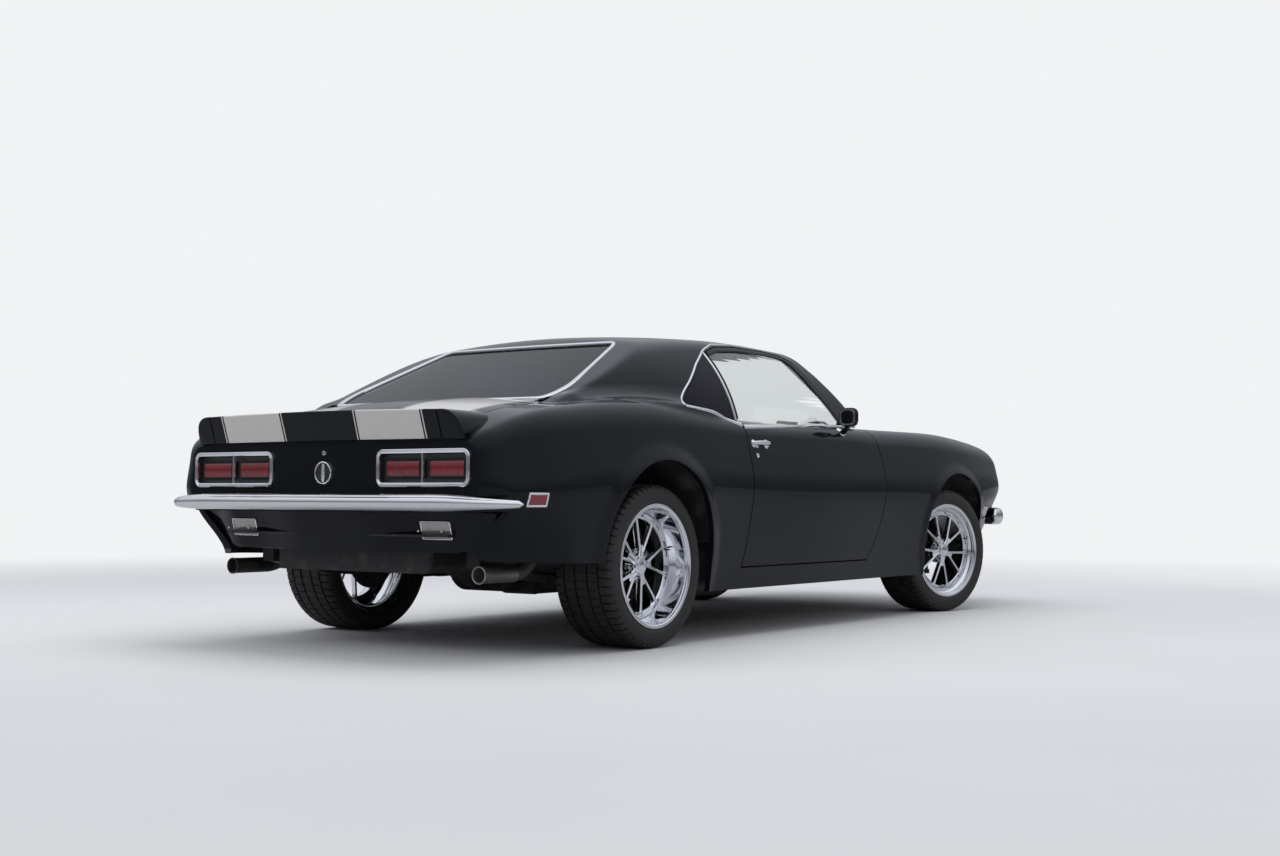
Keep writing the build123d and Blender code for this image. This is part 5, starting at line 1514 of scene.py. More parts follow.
    def cap(self) -> None:
        """The filler cap's chrome ring, black face and upright bar, and the lock above it."""
        mould = Mould("chrome", "black_plastic")
        centre, back = (TAIL_X, 0, 668), (-1, 0, 0)
        mould.lathe([(44, -1), (44, 8), (42.5, 11), (40, 12.2), (37.8, 11), (37, 8), (37, 3)], centre, back, 96)
        mould.lathe([(37, 4.0), (20, 5.0), (0.5, 5.4)], centre, back, 64, "black_plastic")
        rows = []
        for index, high in enumerate(np.linspace(-34, 34, 35)):
            step = index % 4 < 2
            reach = 8.5 * math.sqrt(max(0.05, 1 - (high / 40) ** 2)) + (1.0 if step else 0.0)
            proud = 10.5 + (1.6 if step else 0.0)
            rows.append([(TAIL_X - out, y, 668 + high) for out, y in (
                (3, -reach), (proud - 2, -reach), (proud, -reach * 0.5), (proud, reach * 0.5), (proud - 2, reach),
                (3, reach))])
        mould.loft(rows)
        mould.lathe([(9, -1), (9, 5), (7.6, 7), (6, 7.4), (5.4, 5.6), (0.5, 5.4)], (TAIL_X, 0, 742), back, 40)
        mould.block((TAIL_X - 6.4, -0.9, 737), (TAIL_X - 5.2, 0.9, 747), "black_plastic")
        mould.piece("filler_cap", "root", "chrome", "fuel_cap", angle=35)

    @staticmethod
    def _lean(z: Points) -> Points:
        """The valance's x at a height."""
        return -2240 + (524 - np.asarray(z, float)) * 34 / 126

    def _on_valance(self, a: Points, b: Points, height: Points) -> Points:
        """Puts (y, z, height) onto the valance."""
        swept = 34 * smooth(np.abs(a), 160, 470) + 52 * smooth(np.abs(a), 540, 760)
        return stack(self._lean(b) + swept - height, a, b)

    def valance(self) -> None:
        """The leaning panel under the bumper, with the ledge above it."""
        half = np.array([(752, 530), (742, 506), (722, 470), (694, 436), (660, 408), (622, 390), (560, 381)], float)
        low, high = np.linspace(560, -560, 60)[1:-1], np.linspace(-745, 745, 80)
        y, z = np.concatenate([half, stack(low, 380.0), half[::-1] * [-1, 1], stack(high, 530.0)]).T
        mould = Mould("paint")
        mould.grid([self._on_valance(y - np.sign(y) * inset, np.clip(z + inset * (z < 520), 380, 526), height)
                    for inset, height in ((0, -12), (0, -1.5), (1.5, 0))], close_v=True)
        high = np.linspace(382, 524, 12)
        wide = np.linspace(-1, 1, 90)
        reach = np.interp(high, half[::-1, 1], half[::-1, 0])
        mould.grid([self._on_valance(wide * (y - 1.5), z, 0) for y, z in zip(reach, high)])
        ledge = self._on_valance(wide * 745, 525.0, 0)
        edge = ledge.copy()
        edge[:, 0] = np.minimum(TAIL_X + 6 + 30 * smooth(np.abs(ledge[:, 1]), 690, 790), ledge[:, 0])
        mould.grid([ledge - [0, 0, 2], edge, edge + [0, 0, 4], ledge + [0, 0, 4]])
        mould.piece("rear_valance_look", "root", "paint", "rear_valance", angle=40)

    def small_lamps(self) -> None:
        """The reverse lamps and the small lamps on the car's sides."""
        lamps = Mould("chrome", "clear_lens", "black_plastic", "red_lens")
        for side in Side:
            low, high = (430, 570) if side is Side.LEFT else (-570, -430)
            frame_ring(lamps, (low, 427, high, 494), 5, [(0, -3), (0, 4), (1.4, 5.6), (3.6, 5.6), (5, 4), (5, -3)],
                       self._on_valance, None, 4)
            across = np.linspace(low + 5, high - 5, 92)
            ribs = 1.2 + 0.9 * np.abs(np.sin(np.pi * (across - low) / 7.0))
            lamps.grid([self._on_valance(across, z, ribs) for z in (432, 443, 454, 467, 478, 489)],
                       finish="clear_lens")
            for y in (low + 14, high - 14):
                spot = (float(self._lean(458)) - 1, y, 458)
                lamps.lathe([(4, 0), (4, 2.6), (2.8, 3.4), (0.4, 3.2)], spot, (-1, 0, 0.2), 16, "chrome")
        for side in Side:
            for x, z, lens in ((-2072, 572, "red_lens"), (1838, 521, "clear_lens")):
                def place(a: Points, b: Points, height: Points, side: Side = side) -> Points:
                    """Puts (x, z, height) onto the car's side."""
                    points, normals = BODY_SKIN.on_side(a, b)
                    return (points + normals * np.reshape(height, (-1, 1))) * side.mirror
                frame_ring(lamps, (x - 44, z - 25, x + 44, z + 25), 4,
                           [(0, -3), (0, 4.5), (1.6, 6), (6, 6), (7.6, 4), (8, -2)], place, None, 4)
                across = np.linspace(x - 36, x + 36, 60)
                lamps.grid([place(across, high, 1.5 + 0.8 * np.abs(np.sin(across * 0.5)))
                            for high in np.linspace(z - 17, z + 17, 6)], finish=lens)
        lamps.piece("small_lamps_look", "root", "clear_lens", "small_lamps", angle=32)

    def plate(self) -> None:
        """The blank plate with its frame, its two bolts and its bracket."""
        plate = Mould("black_plastic", "bare_steel", "chrome")
        x = TAIL_X + 30

        def upright(a: Points, b: Points, height: Points) -> Points:
            """Puts (y, z, height) onto the plate."""
            return stack(x - height + 0.27 * (526 - b), a, b)
        frame_ring(plate, (-152, 392, 152, 526), 9, [(0, -2), (0, 1.2), (2, 2.4), (5, 2.4), (7, 0.6)], upright, None, 6)
        flat_face(plate, (-145, 399, 145, 519), 3, 0.6, upright, None, 6)
        for y in (-89, 89):
            plate.lathe([(6.5, 0), (6.5, 1.6), (5, 2.6), (0.4, 2.8)], upright(y, 508.0, 0.6), (-1, 0, 0.2), 20,
                        "bare_steel")
        plate.prism([(x + 2, -60, 518), (x - 5, -60, 518), (x - 5, -60, 530), (x + 2, -60, 530)],
                    (0, 0, 0), (0, 120, 0))
        plate.piece("blank_plate", "root", "black_plastic", angle=35)

    def build(self) -> None:
        """The whole tail."""
        self.spoiler()
        self.lamps()
        self.cap()
        self.valance()
        self.small_lamps()
        self.plate()


@dataclass
class Bumpers:
    """The two chrome bumpers, swept along their plan lines and tapered at their ends."""

    @staticmethod
    def _blade(name: str, ahead: int, corners: Sequence, radii: Sequence, section: Sequence, z: float, taper: float,
               tip_z: float, span: float) -> None:
        """One bumper.

        Args:
            name: the CAD node that it stands for.
            ahead: 1 in front, -1 behind.
            corners: the left half of its inner line from above, from the tip.
            radii: the radii at that line's corners.
            section: (outward, up) points of its section.
            z: its mid height.
            taper: the tip's height as a share of the middle's.
            tip_z: the tip's height above the ground.
            span: how much of its length each taper takes.
        """
        line = open_curve(both_sides(corners), radii + radii[::-1], 16)
        tangents = unit(directions(line, False))
        out = np.stack([tangents[:, 1], -tangents[:, 0]], 1)
        out *= np.sign((out[:, 0] * ahead + out[:, 1] * np.sign(line[:, 1]) * 0.3))[:, None]
        run = run_along(line)
        near = np.minimum(run, run[-1] - run)
        high = taper + (1 - taper) * smooth(near, -0.35 * span, span)
        high *= np.sqrt(np.clip(near / 14, 0.02, 1))
        deep = 0.25 + 0.75 * smooth(near, -0.3 * span, 0.8 * span)
        level = tip_z + (z - tip_z) * smooth(near, 0, span)
        rows = []
        for outward, up in section:
            flat = line + out * (outward * deep)[:, None]
            rows.append(stack(flat[:, 0], flat[:, 1], level + up * high))
        mould = Mould("chrome")
        mould.loft(np.array(rows).transpose(1, 0, 2))
        mould.piece(name + "_look", "root", "chrome", name, angle=50)

    def build(self) -> None:
        """Both bumpers."""
        rear = [(0, -30), (16, -31), (28, -28.5), (37, -22), (42.5, -12), (44.6, 0), (43.6, 9), (40, 15.5),
                (34.5, 18.6), (31.5, 20.2), (29.5, 23.5), (25, 27.6), (16, 30.4), (6, 31), (0, 30), (-3, 24), (-3, -24)]
        self._blade("rear_bumper", -1, [(-2186, 897), (-2262, 795), (-2300, 430)], [170, 900], rear, 560, 0.30,
                    556, 330)
        front = [(0, -46), (14, -48), (28, -44), (38, -33), (43.5, -17), (45, 0), (43.5, 17), (38, 33), (28, 44),
                 (14, 48), (0, 46), (-3, 38), (-3, -38)]
        self._blade("front_bumper", 1, [(2050, 828), (2150, 806), (2262, 742), (2300, 400)], [300, 90, 900], front, 492,
                    0.66, 494, 200)


@dataclass
class Trim:
    """The bright and black mouldings round the windows and along the belt."""

    @staticmethod
    def _screen(mould: Mould, pane: Pane, corners: Sequence, width: float, corner: float) -> None:
        """The chrome moulding round the windshield or the back glass, wider by corner at its low corners."""
        line = window_outline(corners, 5, 48)
        y, z = resample(np.concatenate([line, line[:1]]), 12, 2)[:-1].T
        normals = pane.normals(y)
        near = np.hypot(np.abs(y) - corners[0][0] + 20, z - corners[0][1] - 15)
        mould.ribbon(stack(pane.x_at(y, z), y, z) + normals * 0.5, normals, width + corner * np.exp(-(near / 70) ** 2),
                     5.5, "chrome", closed=True, sink=5)

    @staticmethod
    def _side(mould: Mould, side: Side, skin: Skin, line: Sequence, radii: Sequence, width: "float | tuple",
              height: float, finish: str = "chrome") -> None:
        """A moulding along an (x, z) line on the car's side."""
        line = open_curve(line, radii, 12)
        points, normals = skin.on_side(line[:, 0], line[:, 1])
        if not np.isscalar(width):
            width = np.interp(np.linspace(0, 1, len(line)), np.linspace(0, 1, len(width)), width)
        mould.ribbon(points * side.mirror, normals * side.mirror, width, height, finish, sink=4)

    def build(self) -> None:
        """All mouldings."""
        fixed = Mould("chrome", "rubber")
        self._screen(fixed, BACK_GLASS, REAR_GLASS_CORNERS, 17, 16)
        self._screen(fixed, WINDSHIELD, SCREEN_CORNERS, 15, 4)
        for side in Side:
            edge = [(-1076, 950), (-1091, 960), (-936, 1064), (-827, 1144), (-704, 1215), (-598, 1248), (-417, 1262),
                    (-300, 1264)]
            self._side(fixed, side, WHOLE_SKIN, edge, [8, 300, 300, 200, 200, 300], 10, 5.0)
            self._side(fixed, side, WHOLE_SKIN, [(-673, 893), (-890, 938), (-1090, 952)], [900], (24, 18, 14, 11), 7.0)
            self._side(fixed, side, PANE_SKIN, [(-653, 916), (-709, 1203)], [], 14, 7.0)
        fixed.piece("window_mouldings", "root", "chrome", angle=50)
        for side in Side:
            moving = Mould("chrome", "rubber")
            self._side(moving, side, WHOLE_SKIN, [(-664, 886), (-246, 903), (425, 929)], [900], (23, 18, 12), 6.0)
            self._side(moving, side, PANE_SKIN, [(-631, 920), (-682, 1196)], [], 7, 3.0, "rubber")
            frame_line = [(372, 893), (262, 976), (134, 1093), (50, 1205), (-6, 1231), (-145, 1241), (-417, 1239),
                          (-590, 1226), (-684, 1199)]
            self._side(moving, side, INNER_SKIN, frame_line, [200, 200, 50, 50, 300, 300, 200],
                       (46, 40, 34, 28, 26, 26, 26, 22), 4.0, "rubber")
            moving.piece("belt_moulding_" + side.word, "door_" + side.word, "chrome", angle=50)


def pad(mould: Mould, centre: Sequence, axes: Sequence, halves: Sequence, channels: int, crown: float,
        power: float = 4.5, finish: Optional[str] = None, steps: int = 26) -> None:
    """A crowned cushion with sewn channels on its face.

    Args:
        mould: the piece that it is added to.
        centre: its middle.
        axes: its unit directions: across, along, and out of the face.
        halves: half its size along each.
        channels: how many channels cross it.
        crown: how far its face bulges.
        power: how square it is.
        finish: its finish.
        steps: the quads along each side.
    """
    inner = 0.72
    line = np.sin(np.linspace(-1, 1, steps + 1) * math.pi / 2 * 0.98) / math.sin(math.pi / 2 * 0.98)
    a, b = np.meshgrid(line, line, indexing="ij")
    for face in ((a, b, 1.0), (b, a, -1.0), (a, 1.0, b), (b, -1.0, a), (1.0, b, a), (-1.0, a, b)):
        cube = stack(*face)
        shape = cube / (np.abs(cube) ** power).sum(-1, keepdims=True) ** (1 / power)
        across, along, out = shape[..., 0], shape[..., 1], shape[..., 2]
        up = smooth(out, 0.3, 0.95)
        local = shape * np.array(halves, float)
        local[..., 2] += crown * (1 - across ** 2) * (1 - along ** 2) * up
        local[..., 0] *= 1 - 0.035 * (1 - np.abs(out)) * (1 - along ** 2)
        if channels:
            inside = ((1 - smooth(np.abs(across), inner - 0.03, inner + 0.03))
                      * (1 - smooth(np.abs(along), inner + 0.06, inner + 0.12)))
            wave = np.abs(np.sin(math.pi * channels * (across / inner + 1) / 2)) ** 0.5
            seam = np.exp(-((np.abs(across) - inner) / 0.02) ** 2)
            local[..., 2] -= up * (5.0 * (1 - wave) * inside + 4.0 * seam)
        mould.grid(np.array(centre, float) + local @ np.array(axes, float), finish=finish)


@dataclass
class Cabin:
    """The seats, dashboard, steering wheel and the doors' inner trim."""

    @staticmethod
    def _cushion(mould: Mould, centre: Sequence, degrees: float, halves: Sequence, channels: int, back: bool,
                 steps: int) -> None:
        """One seat cushion, or one backrest, tilted back by some degrees."""
        turn = math.radians(degrees)
        level, steep = (math.cos(turn), 0, math.sin(turn)), (-math.sin(turn), 0, math.cos(turn))
        axes = ((0, 1, 0), steep, level) if back else ((0, 1, 0), level, steep)
        pad(mould, centre, axes, halves, channels, 12, 3.8 if back else 4.5, steps=steps)

    def seats(self) -> None:
        """Two front buckets and a rear bench, as padded forms."""
        mould = Mould("seat_vinyl", "black_plastic", "chrome")
        for sign in (1, -1):
            y = sign * 425
            self._cushion(mould, (-235, y, 398), 7, (232, 262, 56), 7, False, 40)
            self._cushion(mould, (-590, y, 655), 26, (226, 232, 52), 7, True, 40)
            for low, high in ((y - 190, y - 170), (y + 170, y + 190)):
                mould.block((-470, low, 320), (-20, high, 352), "black_plastic")
            mould.lathe([(0.5, 0), (17, 1), (17, 9), (12, 12), (0.5, 12.4)], (-470, y + sign * 226, 452),
                        (0, sign, 0), 32, "chrome")
        for sign in (1, -1):
            self._cushion(mould, (-955, sign * 278, 452), 8, (277, 150, 46), 8, False, 36)
            self._cushion(mould, (-1160, sign * 278, 670), 20, (277, 200, 48), 8, True, 36)
        seats = mould.piece("seats_look", "root", "seat_vinyl", "seats", angle=60)

    @staticmethod
    def _steering_wheel(mould: Mould) -> None:
        """The steering wheel on its column."""
        tilt = math.radians(22)
        axis = Vector((-math.cos(tilt), 0, math.sin(tilt)))
        hub = Vector((170, 370, 825))
        up, across = Vector((math.sin(tilt), 0, math.cos(tilt))), Vector((0, 1, 0))
        angles = np.linspace(0, FULL_TURN, 96, endpoint=False)
        rim = np.array([hub + 182 * (math.cos(a) * across + math.sin(a) * up) for a in angles])
        mould.tube(rim, 12.5, 14, "black_plastic", closed=True)
        run = np.linspace(20, 178, 10)
        for turn in (0.0, math.pi, 1.5 * math.pi):
            way = math.cos(turn) * across + math.sin(turn) * up
            spoke = np.array([hub - axis * float(30 * (1 - r / 182)) + way * float(r) for r in run])
            mould.tube(spoke, 11 - 3 * run / 182, 12, "chrome", flat=0.45)
        for profile, segments in (([(52, -34), (52, -22), (44, -12), (22, -6), (0.5, -5)], 48),
                                  ([(36, -34), (36, -90), (30, -96), (30, -230)], 32)):
            mould.lathe(profile, hub, axis, segments, "black_plastic")

    def dashboard(self) -> None:
        """The dashboard with its gauges, and the steering wheel."""
        mould = Mould("black_plastic", "chrome", "clear_lens", "seat_vinyl")
        profile = rounded([(594, 845), (380, 856), (320, 829), (346, 692), (470, 662), (594, 700)],
                          [4, 26, 22, 14, 20, 4])
        mould.loft([lift(profile, "xz", y) for y in (-712, -700, 700, 712)], "seat_vinyl")
        for y in (300, 445):
            for gauge, segments, finish in (
                    ([(66, -18), (66, 8), (62, 14), (57, 14), (55, 6), (54, -4)], 64, "chrome"),
                    ([(54, 0), (20, 0.6), (0.5, 0.8)], 48, "black_plastic"), ([(53, 5), (0.5, 6)], 48, "clear_lens")):
                mould.lathe(gauge, (330, y, 765), (-1, 0, 0.18), segments, finish)
        mould.block((322, -120, 700), (350, 120, 800), "black_plastic")
        for y in (-70, 70):
            mould.lathe([(13, 0), (12, 14), (9, 17), (0.5, 17)], (322, y, 728), (-1, 0, 0.1), 24, "chrome")
        mould.tube(stack(316, np.linspace(-660, 660, 30), 682), 5.5, 12, "chrome")
        self._steering_wheel(mould)
        mould.piece("dashboard_look", "root", "black_plastic", "dashboard", angle=40)

    def door_trim(self) -> None:
        """The doors' inner boxes with their vinyl, armrests and cranks."""
        for side in Side:
            sign, door = side.value, "door_" + side.word
            shell = BODY_SKIN.shell((-730, 600), side.span(-24, 40), 60, turn=1.5, step=40, outset=-17)
            mesh = carve("door_box", shell, [cutter(door_outline(-18)[1:-1])], [box_cutter(-900, 900, 772, 300)],
                         "seat_vinyl")
            dress("door_inner_" + side.word, mesh, door, "seat_vinyl", angle=30)
            mould = Mould("seat_vinyl", "chrome", "black_plastic")
            pad(mould, (-170, sign * 782, 640), ((0, 0, 1), (1, 0, 0), (0, -sign, 0)), (26, 170, 36), 0, 6, steps=14)
            for low, high, y in ((420, 590, 800.0), (690, 830, 796.0)):
                for x in np.arange(-560, 380, 52.0):
                    mould.tube(stack(x, sign * y, np.linspace(low, high, 8)), 5.0, 8, flat=0.6)
            crank = np.array([(120, 790, 660), (120, 770, 660), (160, 762, 690), (185, 758, 705)]) * side.mirror
            mould.tube(crank, 6, 10, "chrome")
            mould.lathe([(0.5, 0), (13, 1), (15, 14), (11, 26), (0.5, 27)], (185, sign * 760, 705), (0, -sign, 0), 20,
                        "black_plastic")
            mould.piece("door_trim_" + side.word, door, "seat_vinyl", angle=45)

    def build(self) -> None:
        """The whole cabin."""
        self.seats()
        self.dashboard()
        self.door_trim()


@dataclass
class DoorFittings:
    """A door's mirror and its handle."""

    side: Side

    def mirror(self, mould: Mould) -> None:
        """The rounded mirror on its stalk."""
        sign = self.side.value
        pad(mould, (194, sign * 901, 962), ((0, 1, 0), (0, 0, 1), (1, 0, 0)), (46, 44, 19), 0, 6, 3.4, "paint", 26)

        def place(a: Points, b: Points, height: Points) -> Points:
            """Puts (y, z, height) onto the mirror's face."""
            return stack(178 - height, a * sign, b)
        frame_ring(mould, (860, 922, 942, 1002), 24, [(0, -6), (0, 1), (1.2, 3), (2.6, 3), (4, 1), (4.5, -2)], place,
                   "black_plastic", 10)
        flat_face(mould, (863, 925, 939, 999), 20, 1.0, place, "iron_bright", 10)
        stalk = resample(np.array([(206, 892, 930), (212, 878, 908), (220, 860, 896), (228, 842, 889), (232, 834, 880)],
                                  float) * self.side.mirror, 6, 2)
        mould.tube(stalk, np.linspace(9, 13, len(stalk)), 16, "paint", flat=1.25)
        base, normals = BODY_SKIN.over([232.0], [sign * 838.0])
        mould.lathe([(27, -3), (27, 2), (24, 5), (14, 9), (0.5, 10)], base[0], normals[0], 32, "chrome")

    def handle(self, mould: Mould) -> None:
        """The arched chrome handle on its two feet, its push button and the lock."""
        mirror = self.side.mirror
        x = np.linspace(-628, -494, 28)
        share = (x + 561) / 67
        points, normals = BODY_SKIN.on_side(x, 815.0)
        rise = 4 + 18 * np.sqrt(np.clip(1 - share ** 4, 0, 1))
        path = (points + normals * rise[:, None]) * mirror
        mould.tube(path, 6.5 + 2.2 * np.cos(share * math.pi / 2), 14, "chrome", flat=1.35)
        feet = [(x, 815.0, [(size, -2), (size, 3), (size - 3, 6), (size - 8, 10), (0.5, 12)], 28)
                for x, size in ((-616.0, 17), (-507.0, 20))]
        for x, z, profile, segments in (*feet, (-596.0, 803.0, [(9, 0), (9, 8), (7.5, 10), (0.5, 10.5)], 24),
                                        (-590.0, 765.0, [(10.5, -1), (10.5, 2), (8.5, 3.5), (7, 2.4), (0.5, 2.4)], 28)):
            base, out = BODY_SKIN.on_side([x], [z])
            mould.lathe(profile, base[0] * mirror, out[0] * mirror, segments, "chrome")

    def build(self) -> None:
        """Both fittings."""
        mould = Mould("chrome", "paint", "black_plastic")
        self.mirror(mould)
        self.handle(mould)
        word = self.side.word
        mould.piece("door_fittings_look_" + word, "door_" + word, "chrome", "door_fittings_" + word, angle=40)


@dataclass
class Nose:
    """The front end: grille, headlamps, valance, parking lamps and the cowl's vents."""

    centre_z: float = 640.0
    lamp_y: float = 600.0
    lamp_radius: float = 72.0

    def grille(self) -> None:
        """The black grille with its slim bright frame."""
        mould = Mould("black_plastic", "chrome")

        def place(a: Points, b: Points, height: Points) -> Points:
            """Puts (y, z, height) onto the grille."""
            return stack(2254 - 18 * (np.asarray(a) / 700) ** 2 + height, a, b)
        for z in np.linspace(568, 712, 10):
            mould.grid([place(np.linspace(-508, 508, 60), z + dz, float(h)) for dz, h in
                        ((-2.4, -12), (-2.4, 3), (0, 5.5), (2.4, 3), (2.4, -12))], close_u=True)
        for y in np.linspace(-500, 500, 47):
            side = np.array([y - 1.6, y - 1.6, y + 1.6, y + 1.6])
            mould.grid([place(side, z, np.array([-12, 0.5, 0.5, -12.0])) for z in (560.0, 720.0)], close_v=True)
        frame_ring(mould, (-700, 552, 700, 728), 40, [(0, -14), (0, 3), (2, 6), (7, 6), (10, 2), (11, -14)], place,
                   "chrome", 10)
        flat_face(mould, (-695, 556, 695, 724), 36, -14.0, place, None, 10)
        mould.piece("grille_look", "root", "black_plastic", "grille", angle=35)

    def lamps(self) -> None:
        """The round headlamps with their ribbed lenses."""
        mould = Mould("chrome", "clear_lens", "black_plastic")
        for sign in (1, -1):
            centre = (2243, sign * self.lamp_y, self.centre_z)
            radius = self.lamp_radius
            bezel = [(radius + grow, out) for grow, out in
                     ((14, -6), (14, 6), (9, 12), (3, 14), (-1, 12), (-3, 6), (-4, -2))]
            mould.lathe(bezel, centre, (1, 0, 0), 72, "chrome")
            dome = [(radius - 3, 2), (radius - 8, 7), (radius - 22, 12), (radius - 40, 15.5), (12, 17.5), (0.5, 18)]
            mould.lathe(dome, centre, (1, 0, 0), 72, "clear_lens")
            for y in np.linspace(-54, 54, 19):
                reach = math.sqrt(max(66 ** 2 - y ** 2, 1)) * 0.92
                z = np.linspace(-reach, reach, 14)
                line = stack(centre[0] + 18 - 12 * ((y ** 2 + z ** 2) / 66 ** 2), centre[1] + y, centre[2] + z)
                mould.tube(line, 0.9, 6, "clear_lens")
        mould.piece("headlamps_look", "root", "clear_lens", "headlamps", angle=35)

    def valance(self) -> None:
        """The panel under the front bumper, with its opening and the parking lamps."""
        mould = Mould("paint", "black_plastic", "chrome", "clear_lens")

        def place(a: Points, b: Points, height: Points) -> Points:
            """Puts (y, z, height) onto the leaning panel."""
            y, z = np.asarray(a, float), np.asarray(b, float)
            return stack(2276 - (462 - z) * 54 / 160 - 130 * smooth(np.abs(y), 380, 760) ** 1.2 + height - 2, y, z)
        across = np.linspace(-690, 690, 90)
        mould.grid([place(across * (1 - 0.06 * smooth(-z, -420, -304)), z, height) for z, height in
                    ((462, -12), (462, -2), (459, 0), (400, 1), (345, 0), (330, -2), (312, -8), (304, -14),
                     (304, -22))])
        for sign in (1, -1):
            low, high = sorted((sign * 470, sign * 600))
            frame_ring(mould, (low, 372, high, 426), 22, [(0, -2), (0, 5), (2, 7), (5, 7), (7, 4), (7, -2)], place,
                       "chrome", 8)
            flat_face(mould, (low + 7, 379, high - 7, 419), 16, 3.0, place, "clear_lens")
        flat_face(mould, (-330, 366, 330, 424), 20, 2.0, place, "black_plastic")
        frame_ring(mould, (-334, 362, 334, 428), 22, [(0, 0), (1, 4), (3, 4), (5, 0)], place, "paint", 8)
        for z in (381, 395, 409):
            mould.tube(place(np.linspace(-318, 318, 30), z, 4.0), 2.2, 8, "black_plastic")
        mould.piece("front_valance_look", "root", "paint", "front_valance", angle=40)

    def cowl(self) -> None:
        """The vents ahead of the windshield, and the wipers."""
        mould = Mould("black_plastic", "black_metal")
        for sign in (1, -1):
            for y in np.linspace(150, 620, 32):
                points, normals = BODY_SKIN.over(np.linspace(588, 632, 5), sign * y)
                mould.ribbon(points, normals, 5.0, 1.2, "black_plastic")
        for y0, y1 in ((-60, 520), (-620, -60)):
            pivot = BODY_SKIN.over([585.0], [y0])[0][0]
            run = np.linspace(0, 1, 20)
            y = y0 + (y1 - y0) * run
            z = 954 + 14 * run
            line = stack(WINDSHIELD.x_at(y, z) + 9 - 4 * run, y, z + 4)
            line[0] = pivot + np.array([0, 0, 6])
            mould.tube(line, 4.0, 8, "black_metal", flat=0.7)
            mould.tube(line[6:] - np.array([6, 0, 4]), 3.0, 8, "black_plastic")
            mould.lathe([(14, -6), (14, 6), (9, 12), (0.5, 13)], pivot, (0.1, 0, 1), 20, "black_metal")
        mould.piece("wipers", "root", "black_plastic", angle=40)

    def build(self) -> None:
        """The whole front end."""
        self.grille()
        self.lamps()
        self.valance()
        self.cowl()


@dataclass
class Underside:
    """The dual exhaust, its two open tips, the shelf behind the rear seat and the bumpers' arms."""

    tip_x: float = -2125.0
    tip_z: float = 303.0
    tip_y: float = 645.0
    muffler_z: float = 182.0

    @staticmethod
    def _soften(points: Sequence, rounds: int = 3) -> Points:
        """Cuts a line's corners until it runs smoothly."""
        line = np.array(points, float)
        for _ in range(rounds):
            near, far = line[:-1] * 0.72 + line[1:] * 0.28, line[:-1] * 0.28 + line[1:] * 0.72
            line = np.concatenate([line[:1], np.stack([near, far], 1).reshape(-1, 3), line[-1:]])
        return line

    def exhaust(self) -> None:
        """The pipes and mufflers, and the tips: the right one bare, the left one painted black as painted shadow."""
        mould = Mould("cast_iron", "black_metal", "bare_steel", "rubber")
        z = self.muffler_z
        front = self._soften([(678, 200, 320), (630, 200, 320), (540, 240, z), (-160, 330, z)])
        rear = self._soften([(-700, 330, z), (-860, 345, z), (-1110, 430, 265), (-1250, 455, 425), (-1430, 455, 425),
                             (-1590, 458, 395), (-1690, 460, 390), (-1800, 640, 388), (-1880, 645, 303),
                             (-1990, 645, 303)])
        ends = [(-722, 0.80), (-716, 0.97), (-700, 1.0), (-690, 1.0), (-686, 1.03), (-676, 1.03), (-672, 1.0),
                (-188, 1.0), (-184, 1.03), (-174, 1.03), (-170, 1.0), (-150, 0.97), (-140, 0.80)]
        oval = rounded(oblong(-110, -42, 110, 42), 39, 10)
        # Both tips are the same bare pipe; the left one's black is painted shadow, the right one is its lit copy
        for side, tip in zip(Side, ("black_metal", "bare_steel")):
            sign = side.value
            mould.tube(front * side.mirror, 26, 20)
            mould.tube(rear * side.mirror, 29, 20)
            mould.loft([stack(x, sign * (330 + oval[:, 0] * size), z + oval[:, 1] * size) for x, size in ends])
            end = (self.tip_x, sign * self.tip_y, self.tip_z)
            mould.lathe([(29.6, 190), (30.4, 186), (30.6, 6), (32.4, 3), (32.4, -2), (30, -3.4), (27.6, -2), (27.2, 8),
                         (26.8, 90), (0.5, 92)], end, (1, 0, 0), 48, tip)
            # A black disc 30 mm inside each tip: painted shade for the dark inside of the pipe
            mould.lathe([(26.9, 30), (14, 34), (0.5, 35)], end, (1, 0, 0), 32, "rubber")
            mould.tube(np.array([(-1960, sign * 645, 334), (-1960, sign * 640, 372)]), 7, 10, "black_metal")
        mould.piece("exhaust_look", "root", "bare_steel", "exhaust", angle=40)

    def shelf(self) -> None:
        """The carpeted shelf under the back glass, with two round speaker covers."""
        mould = Mould("carpet", "black_plastic")
        profile = [(-1640, 890), (-1640, 938), (-1636, 944), (-1631, 938), (-1628, 908), (-1600, 902), (-1120, 900),
                   (-1110, 896), (-1112, 890)]
        rows = []
        for y in np.linspace(-560, 560, 30):
            row = lift(profile, "xz", y)
            row[5:7, 2] += 3 * (1 - (y / 560) ** 2)
            rows.append(row)
        mould.loft(rows)
        rings = [(92, 0), (92, 5), (86, 7)]
        for radius in np.arange(80, 8, -8.0):
            rings += [(radius + 2, 7), (radius, 4.5), (radius - 4, 4.5), (radius - 5, 7)]
        for y in (-330, 330):
            mould.lathe(rings + [(0.5, 7)], (-1370, y, 901), (0, 0, 1), 48, "black_plastic")
        mould.piece("parcel_shelf", "root", "paint", angle=40)

    def brackets(self) -> None:
        """The arms that carry the bumpers."""
        mould = Mould("black_metal")
        for x0, x1, z in ((TAIL_X + 12, -2304, 560), (2250, 2304, 492)):
            for y in (-400, 400):
                section = rounded(oblong(y - 24, z - 14, y + 24, z + 14), 6, 4)
                mould.loft([lift(section, "yz", x) for x in (x0, (x0 + x1) / 2, x1)])
        mould.piece("bumper_brackets", "root", "black_metal", angle=40)

    def build(self) -> None:
        """All of it."""
        self.exhaust()
        self.shelf()
        self.brackets()


